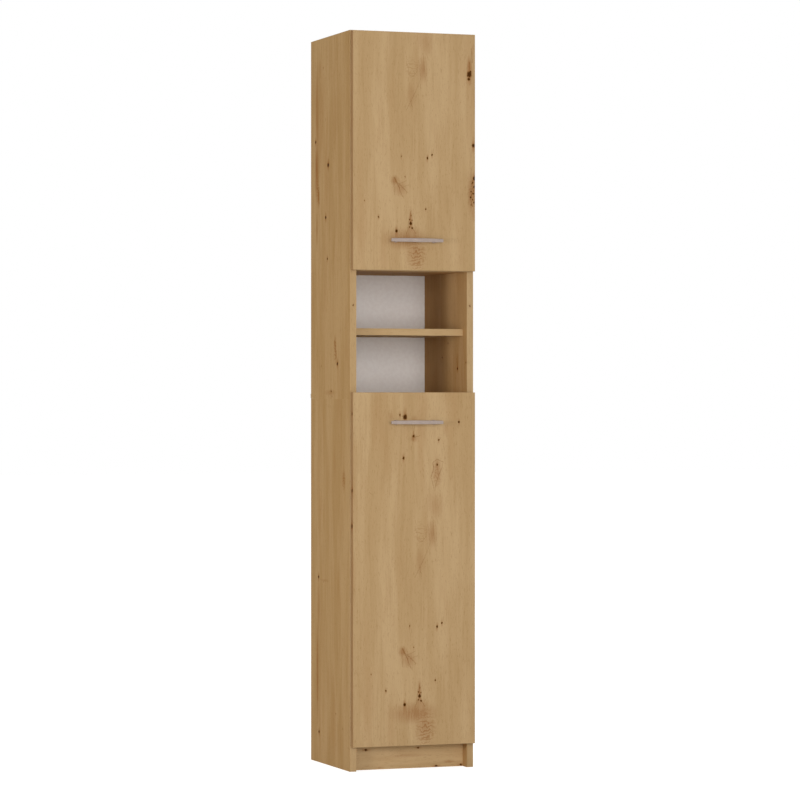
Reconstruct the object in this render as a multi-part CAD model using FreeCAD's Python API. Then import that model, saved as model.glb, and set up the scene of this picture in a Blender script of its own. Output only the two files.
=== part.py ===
import FreeCAD, Part
import math
import os

from FreeCAD import Vector

# Tall bathroom cabinet: a door below, an open niche with a shelf, a door above. Millimetres.
# X runs across the width, Y from the doors to the wall, Z up from the floor.
# The origin is on the floor, under the middle of the whole piece.

# ---- Overall and board sizes
overall_height = 1740.0
overall_width = 310.0
carcass_depth = 286.0
board = 16.0
door_board = 16.0
back_board = 3.0

# ---- Heights
lower_side_height = 874.0
niche_opening = 286.0
niche_shelf_rise = 135.0
plinth_height = 58.0
ceiling_edge_shown = 1.0
shelf_setback = 27.0
plinth_setback = 27.0

# ---- Doors
door_gap = 2.0
door_reveal = 2.0
edge_ease = 0.6
handle_from_edge = 70.5
bumper_radius = 4.0
bumper_thickness = 1.8
bumper_inset = 9.0

# ---- Handles
handle_length = 130.0
handle_centres = 96.0
handle_reach = 28.0
handle_middle_height = 9.2
handle_tip_height = 7.8
handle_middle_depth = 6.0
handle_tip_depth = 4.2
handle_corner = 1.5
handle_end_round = 1.0
handle_bow = 6.0
handle_post_foot = 5.6
handle_post_neck = 4.2
handle_thread = 2.0
handle_thread_depth = 12.0
handle_screw_head_radius = 4.4
handle_screw_crown_radius = 3.2
handle_screw_head = 1.8
handle_sections = 7
screw_clearance = 0.3

# ---- Loose shelves and their pins
shelf_side_gap = 1.0
inner_shelf_setback = 30.0
pin_radius = 2.5
pin_depth = 8.0
pin_tongue_width = 9.0
pin_tongue_reach = 7.0
pin_tongue_thickness = 2.5
pin_line = 37.0
pin_pitch = 32.0

# ---- Cam fittings and dowels
cam_radius = 7.5
cam_past_bolt = 4.5
cam_from_end = 24.0
cam_line = 60.0
cam_clearance = 0.1
cam_slot_width = 2.0
cam_slot_depth = 2.0
cam_slot_half_length = 4.5
bolt_thread_radius = 2.5
bolt_thread_depth = 10.0
bolt_collar_radius = 3.6
bolt_collar_length = 3.0
bolt_shank_radius = 2.0
bolt_head_radius = 3.2
bolt_head_length = 4.0
bolt_bore_clearance = 0.8
dowel_radius = 4.0
dowel_in_side = 12.0
dowel_in_panel = 18.0
seam_dowel_depth = 25.0
seam_dowel_inset = 50.0

# ---- Back
nail_radius = 0.7
nail_length = 18.0
nail_head_radius = 1.8
nail_head_length = 0.8
nails_per_side = 5
nail_end_margin = 40.0
panel_nail_spacing = 139.0
back_inset = 1.0
strip_height = 10.0
strip_flange = 1.0
strip_web = 1.0

# ---- Wall bracket and corner brackets
wall_bracket_width = 30.0
wall_bracket_leg = 34.0
wall_bracket_drop = 30.0
bracket_sheet = 2.0
wall_hole_radius = 3.0
wall_hole_drop = 17.0
wall_screw_spacing = 15.0
corner_leg = 20.0
corner_width = 16.0
corner_sheet = 1.5
corner_line = 120.0
corner_screw_reach = 12.0
wood_screw_radius = 1.75
wood_screw_length = 13.0
wood_screw_head_radius = 3.5
wood_screw_crown_radius = 2.4
wood_screw_head_length = 1.0

# ---- Concealed hinges. Places are measured from the side's inner face (outwards is positive)
# and from the front of the carcass (to the rear is positive).
hinge_from_door_end = 90.0
arm_outer_pin = (-15.0, 2.2)
arm_inner_pin = (-20.0, 2.2)
cup_outer_pin_out = 4.5
cup_outer_pin_depth = 5.15
cup_inner_pin_out = 3.2
cup_inner_pin_depth = 1.8
inner_eye_shift = -0.9
inner_eye_play = 1.05
link_play = 0.05
hinge_pin_radius = 1.25
hinge_rivet_radius = 2.1
hinge_rivet_head = 0.6
cup_radius = 17.5
cup_centre_out = -7.0
cup_depth = 12.0
cup_wall = 0.8
cup_bore_clearance = 0.1
cup_rim_width = 1.1
cup_rim = 1.0
cup_ear_out = -13.0
cup_ear_rise = 24.0
cup_ear_radius = 6.0
cup_lug_gap = 0.7
cup_lug_thickness = 1.4
cup_lug_wall = 0.65
pin_stub_gap = 0.5
inner_link_half_width = 4.4
inner_link_sheet = 1.6
inner_cup_eye_wall = 0.95
inner_arm_eye_wall = 1.35
outer_link_gap = 0.9
outer_link_sheet = 1.2
outer_link_strap = 3.0
outer_link_eye_wall = 1.15
outer_link_crook = ((-8.0, -6.5), (-1.5, -10.2))
outer_link_bridge = ((-11.6, 3.2), (-7.4, 1.4))
arm_gap = 0.4
arm_top = -22.4
arm_sheet = 1.2
arm_nose_front = -0.3
arm_nose_rear = 9.0
arm_nose_low = -12.2
arm_web_front = 14.0
arm_rear = 70.0
arm_foot_front = 26.0
arm_foot_rear = 64.0
arm_skirt = -9.0
plate_line = 37.0
plate_base = 2.5
plate_block = 9.0
plate_block_gap = 0.1
plate_screw_rise = 16.0
plate_wing_radius = 7.0
plate_screw_radius = 2.5
plate_screw_depth = 11.0
plate_screw_head_radius = 4.5
plate_screw_crown_radius = 3.2
plate_screw_head = 1.5
arm_screw_places = (32.0, 54.0)
arm_screw_radius = 2.0
arm_screw_head_radius = 3.2
arm_screw_head = 2.0
arm_screw_bite = 5.0

# ---- Derived places
half_width = overall_width / 2
inner_x = half_width - board
overall_depth = handle_reach + door_board + door_gap + carcass_depth + back_board + strip_flange
front_y = handle_reach + door_board + door_gap - overall_depth / 2
rear_y = front_y + carcass_depth
door_back_y = front_y - door_gap
door_face_y = door_back_y - door_board
middle_y = front_y + carcass_depth / 2
niche_floor_top = lower_side_height + board
niche_ceiling_bottom = niche_floor_top + niche_opening
niche_shelf_bottom = niche_floor_top + niche_shelf_rise
top_panel_bottom = overall_height - board
bottom_panel_top = plinth_height + board
seam_z = lower_side_height + board / 2
lower_door_range = (plinth_height, niche_floor_top)
upper_door_range = (niche_ceiling_bottom + ceiling_edge_shown, overall_height - door_reveal)
door_half_width = half_width - door_reveal
cam_lines = (front_y + cam_line, rear_y - cam_line)
pin_lines = (front_y + inner_shelf_setback + pin_line, rear_y - pin_line)
lower_handle_z = lower_door_range[1] - handle_from_edge
upper_handle_z = upper_door_range[0] + handle_from_edge
upper_room = top_panel_bottom - niche_ceiling_bottom - board
lower_room = lower_side_height - bottom_panel_top
upper_shelf_heights = [niche_ceiling_bottom + board + (upper_room - board) / 2]
lower_shelf_heights = [bottom_panel_top + (lower_room - 2 * board) * n / 3 + board * (n - 1) for n in (1, 2)]
lower_hinge_heights = [lower_door_range[0] + hinge_from_door_end, lower_door_range[1] - hinge_from_door_end]
upper_hinge_heights = [upper_door_range[0] + hinge_from_door_end, upper_door_range[1] - hinge_from_door_end]
hinge_heights = lower_hinge_heights + upper_hinge_heights
cam_depth = board / 2 + cam_past_bolt
bolt_bore_radius = bolt_head_radius + bolt_bore_clearance
plinth_dowel_z = plinth_height / 2
plinth_dowel_y = front_y + plinth_setback + board / 2
wall_hole_z = top_panel_bottom - wall_hole_drop
cup_rim_radius = cup_radius + cup_rim_width
cup_lug_radius = hinge_pin_radius + cup_lug_wall
cup_lug_inner = inner_link_half_width + cup_lug_gap
cup_lug_outer = cup_lug_inner + cup_lug_thickness
outer_cheek_inner = cup_lug_outer + outer_link_gap
outer_cheek_outer = outer_cheek_inner + outer_link_sheet
arm_cheek_inner = outer_cheek_outer + arm_gap
arm_cheek_outer = arm_cheek_inner + arm_sheet
pin_stub_end = cup_lug_outer + pin_stub_gap

ALONG_X = Vector(1, 0, 0)
ALONG_Y = Vector(0, 1, 0)
ALONG_Z = Vector(0, 0, 1)


# ---- Small helpers
def block(x0, x1, y0, y1, z0, z1):
    return Part.makeBox(x1 - x0, y1 - y0, z1 - z0, Vector(x0, y0, z0))


def rod(radius, start, direction, length):
    return Part.makeCylinder(radius, length, start, direction)


def joined(shapes):
    return shapes[0].multiFuse(shapes[1:]).removeSplitter() if len(shapes) > 1 else shapes[0]


def without(shape, cutters):
    return shape.cut(Part.makeCompound(cutters)) if cutters else shape


def turned_piece(profile, start, direction):
    """A solid of revolution: profile is a list of (distance along, radius)."""
    outline = [Vector(r, 0, a) for a, r in profile]
    outline = [Vector(0, 0, profile[0][0])] + outline + [Vector(0, 0, profile[-1][0])]
    face = Part.Face(Part.makePolygon(outline + [outline[0]]))
    solid = face.revolve(Vector(0, 0, 0), ALONG_Z, 360)
    solid.Placement = FreeCAD.Placement(start, FreeCAD.Rotation(ALONG_Z, direction))
    return solid


def flat_plate(points, z0, z1):
    """A plate with the given outline in plan."""
    outline = [Vector(x, y, z0) for x, y in points]
    return Part.Face(Part.makePolygon(outline + [outline[0]])).extrude(Vector(0, 0, z1 - z0))


def strap(start, end, width, z0, z1):
    """A flat bar in plan from start to end, with round ends."""
    dx, dy = end[0] - start[0], end[1] - start[1]
    length = math.hypot(dx, dy)
    nx, ny = -dy / length * width / 2, dx / length * width / 2
    corners = [(start[0] + nx, start[1] + ny), (end[0] + nx, end[1] + ny),
               (end[0] - nx, end[1] - ny), (start[0] - nx, start[1] - ny)]
    ends = [rod(width / 2, Vector(x, y, z0), ALONG_Z, z1 - z0) for x, y in (start, end)]
    return joined([flat_plate(corners, z0, z1)] + ends)


def save(name, solids):
    shape = Part.makeCompound(solids) if isinstance(solids, list) else solids
    shape.exportStep("parts/" + name + ".step")


# ---- Joinery: every fixed panel is held by two cams and one dowel at each end
def fixed_panels():
    """Underside of each fixed panel, and whether its cams open upwards."""
    return [(plinth_height, False), (lower_side_height, False), (niche_shelf_bottom, False),
            (niche_ceiling_bottom, True), (top_panel_bottom, False)]


def side_signs():
    return (-1, 1)


def bolt_axis(panel_bottom):
    return panel_bottom + board / 2


def cam_start(sign, y, panel_bottom, opens_up):
    base = panel_bottom + (board - cam_depth if opens_up else 0)
    return Vector(sign * (inner_x - cam_from_end), y, base)


def cam_pockets(panel_bottom, opens_up):
    return [rod(cam_radius + cam_clearance, cam_start(s, y, panel_bottom, opens_up), ALONG_Z, cam_depth)
            for s in side_signs() for y in cam_lines]


def panel_end_bores(panel_bottom):
    z = bolt_axis(panel_bottom)
    bores = []
    for sign in side_signs():
        inwards = ALONG_X * -sign
        for y in cam_lines:
            bores.append(rod(bolt_bore_radius, Vector(sign * inner_x, y, z), inwards, cam_from_end))
        bores.append(rod(dowel_radius, Vector(sign * inner_x, middle_y, z), inwards, dowel_in_panel))
    return bores


def side_face_bores(sign, panel_bottoms):
    """Holes in a side's inner face for cam bolts and dowels."""
    outwards = ALONG_X * sign
    bores = []
    for z in [bolt_axis(bottom) for bottom in panel_bottoms]:
        for y in cam_lines:
            bores.append(rod(bolt_thread_radius, Vector(sign * inner_x, y, z), outwards, bolt_thread_depth))
        bores.append(rod(dowel_radius, Vector(sign * inner_x, middle_y, z), outwards, dowel_in_side))
    return bores


def cam_lock(sign, y, panel_bottom, opens_up):
    """A round cam with a channel for the bolt's head and a cross for the screwdriver."""
    start = cam_start(sign, y, panel_bottom, opens_up)
    body = rod(cam_radius, start, ALONG_Z, cam_depth)
    centre = Vector(start.x, y, bolt_axis(panel_bottom))
    channel = rod(bolt_bore_radius, centre - ALONG_X * sign * bolt_head_length, ALONG_X * sign,
                  cam_radius + bolt_head_length)
    face_z = start.z + cam_depth if opens_up else start.z
    low, high = face_z - cam_slot_depth, face_z + cam_slot_depth
    arms = ((cam_slot_half_length, cam_slot_width / 2), (cam_slot_width / 2, cam_slot_half_length))
    cross = [block(centre.x - a, centre.x + a, y - b, y + b, low, high) for a, b in arms]
    return without(body, [channel, joined(cross)])


def cam_bolt(sign, y, panel_bottom):
    """Thread in the side, collar against its face, head inside the cam."""
    start = Vector(sign * (inner_x + bolt_thread_depth), y, bolt_axis(panel_bottom))
    collar_end = bolt_thread_depth + bolt_collar_length
    neck_end = bolt_thread_depth + cam_from_end - bolt_head_length / 2
    profile = [(0, bolt_thread_radius), (bolt_thread_depth, bolt_thread_radius),
               (bolt_thread_depth, bolt_collar_radius), (collar_end, bolt_collar_radius),
               (collar_end, bolt_shank_radius), (neck_end, bolt_shank_radius),
               (neck_end, bolt_head_radius), (neck_end + bolt_head_length, bolt_head_radius)]
    return turned_piece(profile, start, ALONG_X * -sign)


def make_cams():
    locks, bolts = [], []
    for bottom, opens_up in fixed_panels():
        for sign in side_signs():
            for y in cam_lines:
                locks.append(cam_lock(sign, y, bottom, opens_up))
                bolts.append(cam_bolt(sign, y, bottom))
    save("cam_locks", locks)
    save("cam_bolts", bolts)


def cross_dowel(sign, y, z):
    return rod(dowel_radius, Vector(sign * (inner_x + dowel_in_side), y, z), ALONG_X * -sign,
               dowel_in_side + dowel_in_panel)


def make_dowels():
    places = [(middle_y, bolt_axis(bottom)) for bottom, _ in fixed_panels()]
    places.append((plinth_dowel_y, plinth_dowel_z))
    save("panel_dowels", [cross_dowel(s, y, z) for s in side_signs() for y, z in places])
    feet = [Vector(x, y, lower_side_height - seam_dowel_depth) for x, y in seam_dowel_places()]
    save("side_seam_dowels", [rod(dowel_radius, foot, ALONG_Z, 2 * seam_dowel_depth) for foot in feet])


def seam_dowel_places():
    return [(s * (half_width - board / 2), y) for s in side_signs()
            for y in (front_y + seam_dowel_inset, rear_y - seam_dowel_inset)]


# ---- Panels
def fixed_panel(bottom, opens_up, setback=0.0, rear_gap=0.0):
    body = block(-inner_x, inner_x, front_y + setback, rear_y - rear_gap, bottom, bottom + board)
    return without(body, cam_pockets(bottom, opens_up) + panel_end_bores(bottom))


def make_fixed_panels():
    bottom = fixed_panel(plinth_height, False)
    save("bottom_panel", bottom)
    floor = fixed_panel(lower_side_height, False, rear_gap=strip_flange)
    save("niche_floor", without(floor, corner_screw_bores_above()))
    save("niche_shelf", fixed_panel(niche_shelf_bottom, False, setback=shelf_setback))
    save("niche_ceiling", fixed_panel(niche_ceiling_bottom, True))
    top = fixed_panel(top_panel_bottom, False)
    save("top_panel", without(top, wall_bracket_screw_bores()))


def make_plinth():
    y0 = front_y + plinth_setback
    body = block(-inner_x, inner_x, y0, y0 + board, 0, plinth_height)
    bores = [rod(dowel_radius, Vector(s * inner_x, plinth_dowel_y, plinth_dowel_z),
                 ALONG_X * -s, dowel_in_panel) for s in side_signs()]
    save("plinth_board", without(body, bores))


def seam_bores(sign, direction):
    return [rod(dowel_radius, Vector(x, y, lower_side_height), direction, seam_dowel_depth)
            for x, y in seam_dowel_places() if x * sign > 0]


def pin_axis(shelf_bottom):
    return shelf_bottom - pin_radius


def pin_bores(sign, shelf_heights):
    """Each shelf has its own holes and a spare pair above and below."""
    heights = [pin_axis(z) + step * pin_pitch for z in shelf_heights for step in (-1, 0, 1)]
    starts = [Vector(sign * inner_x, y, z) for z in heights for y in pin_lines]
    return [rod(pin_radius, start, ALONG_X * sign, pin_depth) for start in starts]


def plate_screw_places(heights):
    return [(front_y + plate_line, z + s * plate_screw_rise) for z in heights for s in side_signs()]


def plate_screw_bores(heights):
    return [rod(plate_screw_radius, Vector(inner_x, y, z), ALONG_X, plate_screw_depth)
            for y, z in plate_screw_places(heights)]


def side_board(sign, z0, z1):
    x0, x1 = sorted((sign * inner_x, sign * half_width))
    return block(x0, x1, front_y, rear_y, z0, z1)


def make_sides():
    lower_panels = [plinth_height]
    upper_panels = [bottom for bottom, _ in fixed_panels() if bottom >= lower_side_height]
    for sign, word in zip(side_signs(), ("left", "right")):
        lower = side_face_bores(sign, lower_panels) + pin_bores(sign, lower_shelf_heights)
        lower += seam_bores(sign, ALONG_Z * -1) + corner_screw_bores_beside(sign)
        lower.append(rod(dowel_radius, Vector(sign * inner_x, plinth_dowel_y, plinth_dowel_z),
                         ALONG_X * sign, dowel_in_side))
        upper = side_face_bores(sign, upper_panels) + pin_bores(sign, upper_shelf_heights)
        upper += seam_bores(sign, ALONG_Z)
        if sign > 0:
            lower += plate_screw_bores(lower_hinge_heights)
            upper += plate_screw_bores(upper_hinge_heights)
        save("lower_" + word + "_side", without(side_board(sign, 0, lower_side_height), lower))
        save("upper_" + word + "_side", without(side_board(sign, lower_side_height, overall_height), upper))


# ---- Back: two thin boards, joined by a strip at the niche floor, nailed to the rear edges
def make_back():
    x = half_width - back_inset
    outside_y = rear_y + back_board
    web_low = seam_z - strip_web / 2
    web_high = seam_z + strip_web / 2
    lower = block(-x, x, rear_y, outside_y, plinth_height, web_low)
    upper = block(-x, x, rear_y, outside_y, web_high, overall_height - back_inset)
    hole = rod(wall_hole_radius, Vector(0, rear_y, wall_hole_z), ALONG_Y, back_board)
    save("lower_back_panel", lower)
    save("upper_back_panel", without(upper, [hole]))
    low = seam_z - strip_height / 2
    high = seam_z + strip_height / 2
    web = block(-half_width, half_width, rear_y, outside_y, web_low, web_high)
    rear = block(-half_width, half_width, outside_y, outside_y + strip_flange, low, high)
    front = block(-inner_x, inner_x, rear_y - strip_flange, rear_y, low, high)
    save("back_joint_strip", joined([web, rear, front]))


def spread(low, high, count):
    return [low + (high - low) * n / (count - 1) for n in range(count)]


def nail_places():
    x = half_width - board / 2
    panel_bottoms = (plinth_height, niche_ceiling_bottom, top_panel_bottom)
    spans = ((plinth_height + nail_end_margin, seam_z - nail_end_margin),
             (seam_z + nail_end_margin, overall_height - nail_end_margin))
    side_heights = [z for low, high in spans for z in spread(low, high, nails_per_side)]
    places = [(s * x, z) for s in side_signs() for z in side_heights]
    return places + [(s * panel_nail_spacing / 2, bolt_axis(z)) for s in side_signs() for z in panel_bottoms]


def make_nails():
    profile = [(0, nail_head_radius), (nail_head_length, nail_head_radius),
               (nail_head_length, nail_radius), (nail_head_length + nail_length, nail_radius)]
    start_y = rear_y + back_board + nail_head_length
    save("back_nails", [turned_piece(profile, Vector(x, start_y, z), ALONG_Y * -1) for x, z in nail_places()])


# ---- Brackets and their screws
def wood_screw(start, direction):
    """start is the middle of the face that the head lies on."""
    profile = [(0, wood_screw_crown_radius), (wood_screw_head_length / 2, wood_screw_head_radius),
               (wood_screw_head_length, wood_screw_head_radius), (wood_screw_head_length, wood_screw_radius),
               (wood_screw_head_length + wood_screw_length, wood_screw_radius)]
    return turned_piece(profile, start - direction * wood_screw_head_length, direction)


def wood_screw_bore(start, direction):
    return rod(wood_screw_radius, start, direction, wood_screw_length)


def wall_bracket_screws():
    y = rear_y - wall_bracket_leg / 2
    return [Vector(s * wall_screw_spacing / 2, y, top_panel_bottom - bracket_sheet) for s in side_signs()]


def wall_bracket_screw_bores():
    return [wood_screw_bore(p, ALONG_Z) for p in wall_bracket_screws()]


def make_wall_bracket():
    half = wall_bracket_width / 2
    top = top_panel_bottom
    flat = block(-half, half, rear_y - wall_bracket_leg, rear_y, top - bracket_sheet, top)
    upright = block(-half, half, rear_y - bracket_sheet, rear_y, top - wall_bracket_drop, top)
    hole = rod(wall_hole_radius, Vector(0, rear_y - bracket_sheet, wall_hole_z), ALONG_Y, bracket_sheet)
    save("wall_bracket", without(joined([flat, upright]), [hole] + wall_bracket_screw_bores()))
    save("wall_bracket_screws", [wood_screw(p, ALONG_Z) for p in wall_bracket_screws()])


def corner_places():
    return [(s, y) for s in side_signs() for y in (front_y + corner_line, rear_y - corner_line)]


def corner_screws(sign, y):
    """Starting point and direction of a corner bracket's two screws."""
    up = Vector(sign * (inner_x - corner_screw_reach), y, lower_side_height - corner_sheet)
    side = Vector(sign * (inner_x - corner_sheet), y, lower_side_height - corner_screw_reach)
    return [(up, ALONG_Z), (side, ALONG_X * sign)]


def corner_screw_bores_above():
    return [wood_screw_bore(*corner_screws(s, y)[0]) for s, y in corner_places()]


def corner_screw_bores_beside(sign):
    return [wood_screw_bore(*corner_screws(s, y)[1]) for s, y in corner_places() if s == sign]


def corner_bracket(sign, y):
    y0, y1 = y - corner_width / 2, y + corner_width / 2
    x0, x1 = sorted((sign * inner_x, sign * (inner_x - corner_leg)))
    flat = block(x0, x1, y0, y1, lower_side_height - corner_sheet, lower_side_height)
    x0, x1 = sorted((sign * inner_x, sign * (inner_x - corner_sheet)))
    upright = block(x0, x1, y0, y1, lower_side_height - corner_leg, lower_side_height)
    return without(joined([flat, upright]), [wood_screw_bore(p, d) for p, d in corner_screws(sign, y)])


def make_corner_brackets():
    save("corner_brackets", [corner_bracket(s, y) for s, y in corner_places()])
    screws = [place for s, y in corner_places() for place in corner_screws(s, y)]
    save("corner_bracket_screws", [wood_screw(start, direction) for start, direction in screws])


# ---- Loose shelves
def loose_shelf(z):
    x = inner_x - shelf_side_gap
    return block(-x, x, front_y + inner_shelf_setback, rear_y, z, z + board)


def shelf_pin(sign, y, shelf_bottom):
    """A peg in the side with a tongue and a brace that carry the shelf."""
    wall = sign * inner_x
    peg = rod(pin_radius, Vector(wall, y, pin_axis(shelf_bottom)), ALONG_X * sign, pin_depth)
    half = pin_tongue_width / 2
    reach = wall - sign * pin_tongue_reach
    low = shelf_bottom - pin_tongue_thickness
    foot = shelf_bottom - 2 * pin_radius - pin_tongue_thickness
    side = [Vector(wall, y - half, shelf_bottom), Vector(reach, y - half, shelf_bottom),
            Vector(reach, y - half, low), Vector(wall - sign * pin_tongue_thickness, y - half, foot),
            Vector(wall, y - half, foot)]
    tongue = Part.Face(Part.makePolygon(side + [side[0]])).extrude(ALONG_Y * pin_tongue_width)
    return joined([peg, tongue])


def make_loose_shelves():
    save("upper_loose_shelf", loose_shelf(upper_shelf_heights[0]))
    save("lower_loose_shelf_1", loose_shelf(lower_shelf_heights[0]))
    save("lower_loose_shelf_2", loose_shelf(lower_shelf_heights[1]))
    heights = upper_shelf_heights + lower_shelf_heights
    save("shelf_pins", [shelf_pin(s, y, z) for z in heights for s in side_signs() for y in pin_lines])


# ---- Doors and handles
def handle_screw_places(z):
    return [Vector(s * handle_centres / 2, door_back_y, z) for s in side_signs()]


def door(z_range, handle_z, heights):
    body = block(-door_half_width, door_half_width, door_face_y, door_back_y, z_range[0], z_range[1])
    front = [e for e in body.Edges if all(abs(v.Y - door_face_y) < edge_ease for v in e.Vertexes)]
    body = body.makeChamfer(edge_ease, front)
    screw_bore = handle_thread + screw_clearance
    cutters = [rod(screw_bore, p, ALONG_Y * -1, door_board) for p in handle_screw_places(handle_z)]
    for z in heights:
        cutters.append(cup_drum(cup_radius + cup_bore_clearance, z, 0, cup_depth))
        cutters += [wood_screw_bore(p, ALONG_Y * -1) for p in cup_screw_places(z)]
    return without(body, cutters)


def corner_points(centre, first_turn):
    """Start, middle and end of a quarter round of the bar's section."""
    turns = [math.radians(first_turn + more) for more in (0, 45, 90)]
    return [centre + Vector(0, math.cos(t), math.sin(t)) * handle_corner for t in turns]


def bar_section(x, z):
    """An upright oblong with round corners, smaller and nearer the door towards the handle's tips."""
    share = abs(x) / (handle_length / 2)
    height = handle_middle_height + (handle_tip_height - handle_middle_height) * share ** 2
    depth = handle_middle_depth + (handle_tip_depth - handle_middle_depth) * share ** 2
    y = door_face_y - handle_reach + handle_middle_depth / 2 + handle_bow * share ** 2
    across, up = depth / 2 - handle_corner, height / 2 - handle_corner
    signs = ((1, 1), (-1, 1), (-1, -1), (1, -1))
    corners = [corner_points(Vector(x, y + a * across, z + b * up), 90 * n) for n, (a, b) in enumerate(signs)]
    edges = []
    for corner, following in zip(corners, corners[1:] + corners[:1]):
        edges.append(Part.Arc(*corner).toShape())
        edges.append(Part.LineSegment(corner[-1], following[0]).toShape())
    return Part.Wire(edges)


def handle(z):
    """A bowed flat bar with rounded ends, on two conical posts with blind threads."""
    xs = spread(-handle_length / 2, handle_length / 2, handle_sections)
    bar = Part.makeLoft([bar_section(x, z) for x in xs], True, False)
    inner_limit = handle_length / 2 - handle_corner
    rims = [e for e in bar.Edges if all(abs(v.X) > inner_limit for v in e.Vertexes)]
    bar = bar.makeFillet(handle_end_round, rims)
    share = handle_centres / handle_length
    reach = handle_reach - handle_middle_depth / 2 - handle_bow * share ** 2
    outwards = ALONG_Y * -1
    feet = [Vector(s * handle_centres / 2, door_face_y, z) for s in side_signs()]
    posts = [Part.makeCone(handle_post_foot, handle_post_neck, reach, foot, outwards) for foot in feet]
    threads = [rod(handle_thread, foot, outwards, handle_thread_depth) for foot in feet]
    return without(joined([bar] + posts), threads)


def handle_screw(start):
    """A machine screw with its head on the door's inner face."""
    length = door_board + handle_thread_depth - screw_clearance
    head = handle_screw_head
    profile = [(-head, handle_screw_crown_radius), (-head / 2, handle_screw_head_radius),
               (0, handle_screw_head_radius), (0, handle_thread), (length, handle_thread)]
    return turned_piece(profile, start, ALONG_Y * -1)


def bumper(z):
    start = Vector(bumper_inset - door_half_width, door_back_y, z)
    return rod(bumper_radius, start, ALONG_Y, bumper_thickness)


def make_door(word, z_range, handle_z, heights):
    save(word + "_door", door(z_range, handle_z, heights))
    save(word + "_handle", handle(handle_z))
    save(word + "_handle_screws", [handle_screw(p) for p in handle_screw_places(handle_z)])
    inset = bumper_inset + bumper_radius
    save(word + "_door_bumpers", [bumper(z_range[0] + inset), bumper(z_range[1] - inset)])


# ---- Concealed hinges: cup, arm and two links each
def hinge_point(out, rear, z):
    return Vector(inner_x + out, front_y + rear, z)


def plan(place):
    """Plan coordinates of a place given in the hinge's own terms."""
    return (inner_x + place[0], front_y + place[1])


def cup_outer_pin():
    return (cup_outer_pin_out, -door_gap - cup_outer_pin_depth)


def cup_inner_pin():
    return (cup_inner_pin_out, -door_gap - cup_inner_pin_depth)


def pin_rod(place, z, low, high, radius=hinge_pin_radius):
    x, y = plan(place)
    return rod(radius, Vector(x, y, z + low), ALONG_Z, high - low)


def both_sides(low, high):
    """A pair of heights, mirrored about the hinge's middle."""
    return [(low, high), (-high, -low)]


def cup_screw_places(z):
    return [hinge_point(cup_ear_out, cup_rim - door_gap, z + s * cup_ear_rise) for s in side_signs()]


def cup_drum(radius, z, start, depth):
    return rod(radius, hinge_point(cup_centre_out, start - door_gap, z), ALONG_Y * -1, depth)


def cup_lug(z, low, high):
    x, y = plan(cup_inner_pin())
    floor = door_back_y - cup_depth
    post = block(x - cup_lug_radius, x + cup_lug_radius, floor, y, z + low, z + high)
    return joined([post, rod(cup_lug_radius, Vector(x, y, z + low), ALONG_Z, high - low)])


def hinge_cup(z):
    """A pressed cup with a rim, two screw ears and two lugs for the inner link's pin."""
    ears = [rod(cup_ear_radius, hinge_point(cup_ear_out, -door_gap, z + s * cup_ear_rise), ALONG_Y, cup_rim)
            for s in side_signs()]
    x = inner_x + cup_ear_out
    bridge = block(x - cup_ear_radius, x + cup_ear_radius, door_back_y, door_back_y + cup_rim,
                   z - cup_ear_rise, z + cup_ear_rise)
    drum = cup_drum(cup_radius, z, 0, cup_depth)
    rim = cup_drum(cup_rim_radius, z, cup_rim, cup_rim)
    hollow = cup_drum(cup_radius - cup_wall, z, cup_rim, cup_rim + cup_depth - cup_wall)
    shell = without(joined([drum, rim, bridge] + ears), [hollow])
    lugs = [cup_lug(z, low, high) for low, high in both_sides(cup_lug_inner, cup_lug_outer)]
    bores = [wood_screw_bore(p, ALONG_Y * -1) for p in cup_screw_places(z)]
    return without(joined([shell] + lugs), cup_pins(z) + bores)


def cup_outer_pins(z):
    """Two short pins from the cup's wall, which leave the middle free."""
    inside = cup_drum(cup_radius - cup_wall / 2, z, 0, cup_depth)
    return [pin_rod(cup_outer_pin(), z, low, high).common(inside)
            for low, high in both_sides(pin_stub_end, cup_radius)]


def cup_pins(z):
    return [pin_rod(cup_inner_pin(), z, -cup_lug_outer, cup_lug_outer)] + cup_outer_pins(z)


def inner_link_end():
    x, y = cup_inner_pin()
    return (x + inner_eye_shift, y)


def inner_link(z):
    """One wide strap between the arm's rear pin and the cup's lugs. Its cup eye has play."""
    half = inner_link_half_width
    arm_bore = hinge_pin_radius + link_play
    cup_bore = hinge_pin_radius + inner_eye_play
    start, end = plan(arm_inner_pin), plan(inner_link_end())
    body = joined([strap(start, end, inner_link_sheet, z - half, z + half),
                   pin_rod(arm_inner_pin, z, -half, half, hinge_pin_radius + inner_arm_eye_wall),
                   pin_rod(inner_link_end(), z, -half, half, cup_bore + inner_cup_eye_wall)])
    return without(body, [pin_rod(arm_inner_pin, z, -half, half, arm_bore),
                          pin_rod(inner_link_end(), z, -half, half, cup_bore)])


def outer_link(z):
    """Two crooked cheeks with a bridge between them, outside the inner link."""
    half = outer_cheek_outer
    pins = (arm_outer_pin, cup_outer_pin())
    path = [plan(p) for p in (arm_outer_pin,) + outer_link_crook + (cup_outer_pin(),)]
    bridge = [plan(p) for p in outer_link_bridge]
    stretches = list(zip(path, path[1:]))
    stretches += [(path[0], bridge[0]), (bridge[1], path[1])]
    solids = [strap(bridge[0], bridge[1], outer_link_sheet, z - half, z + half)]
    for low, high in both_sides(outer_cheek_inner, outer_cheek_outer):
        solids += [strap(a, b, outer_link_strap, z + low, z + high) for a, b in stretches]
        solids += [pin_rod(p, z, low, high, hinge_pin_radius + outer_link_eye_wall) for p in pins]
    bores = [pin_rod(p, z, -half, half, hinge_pin_radius + link_play) for p in pins]
    return without(joined(solids), bores)


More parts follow.
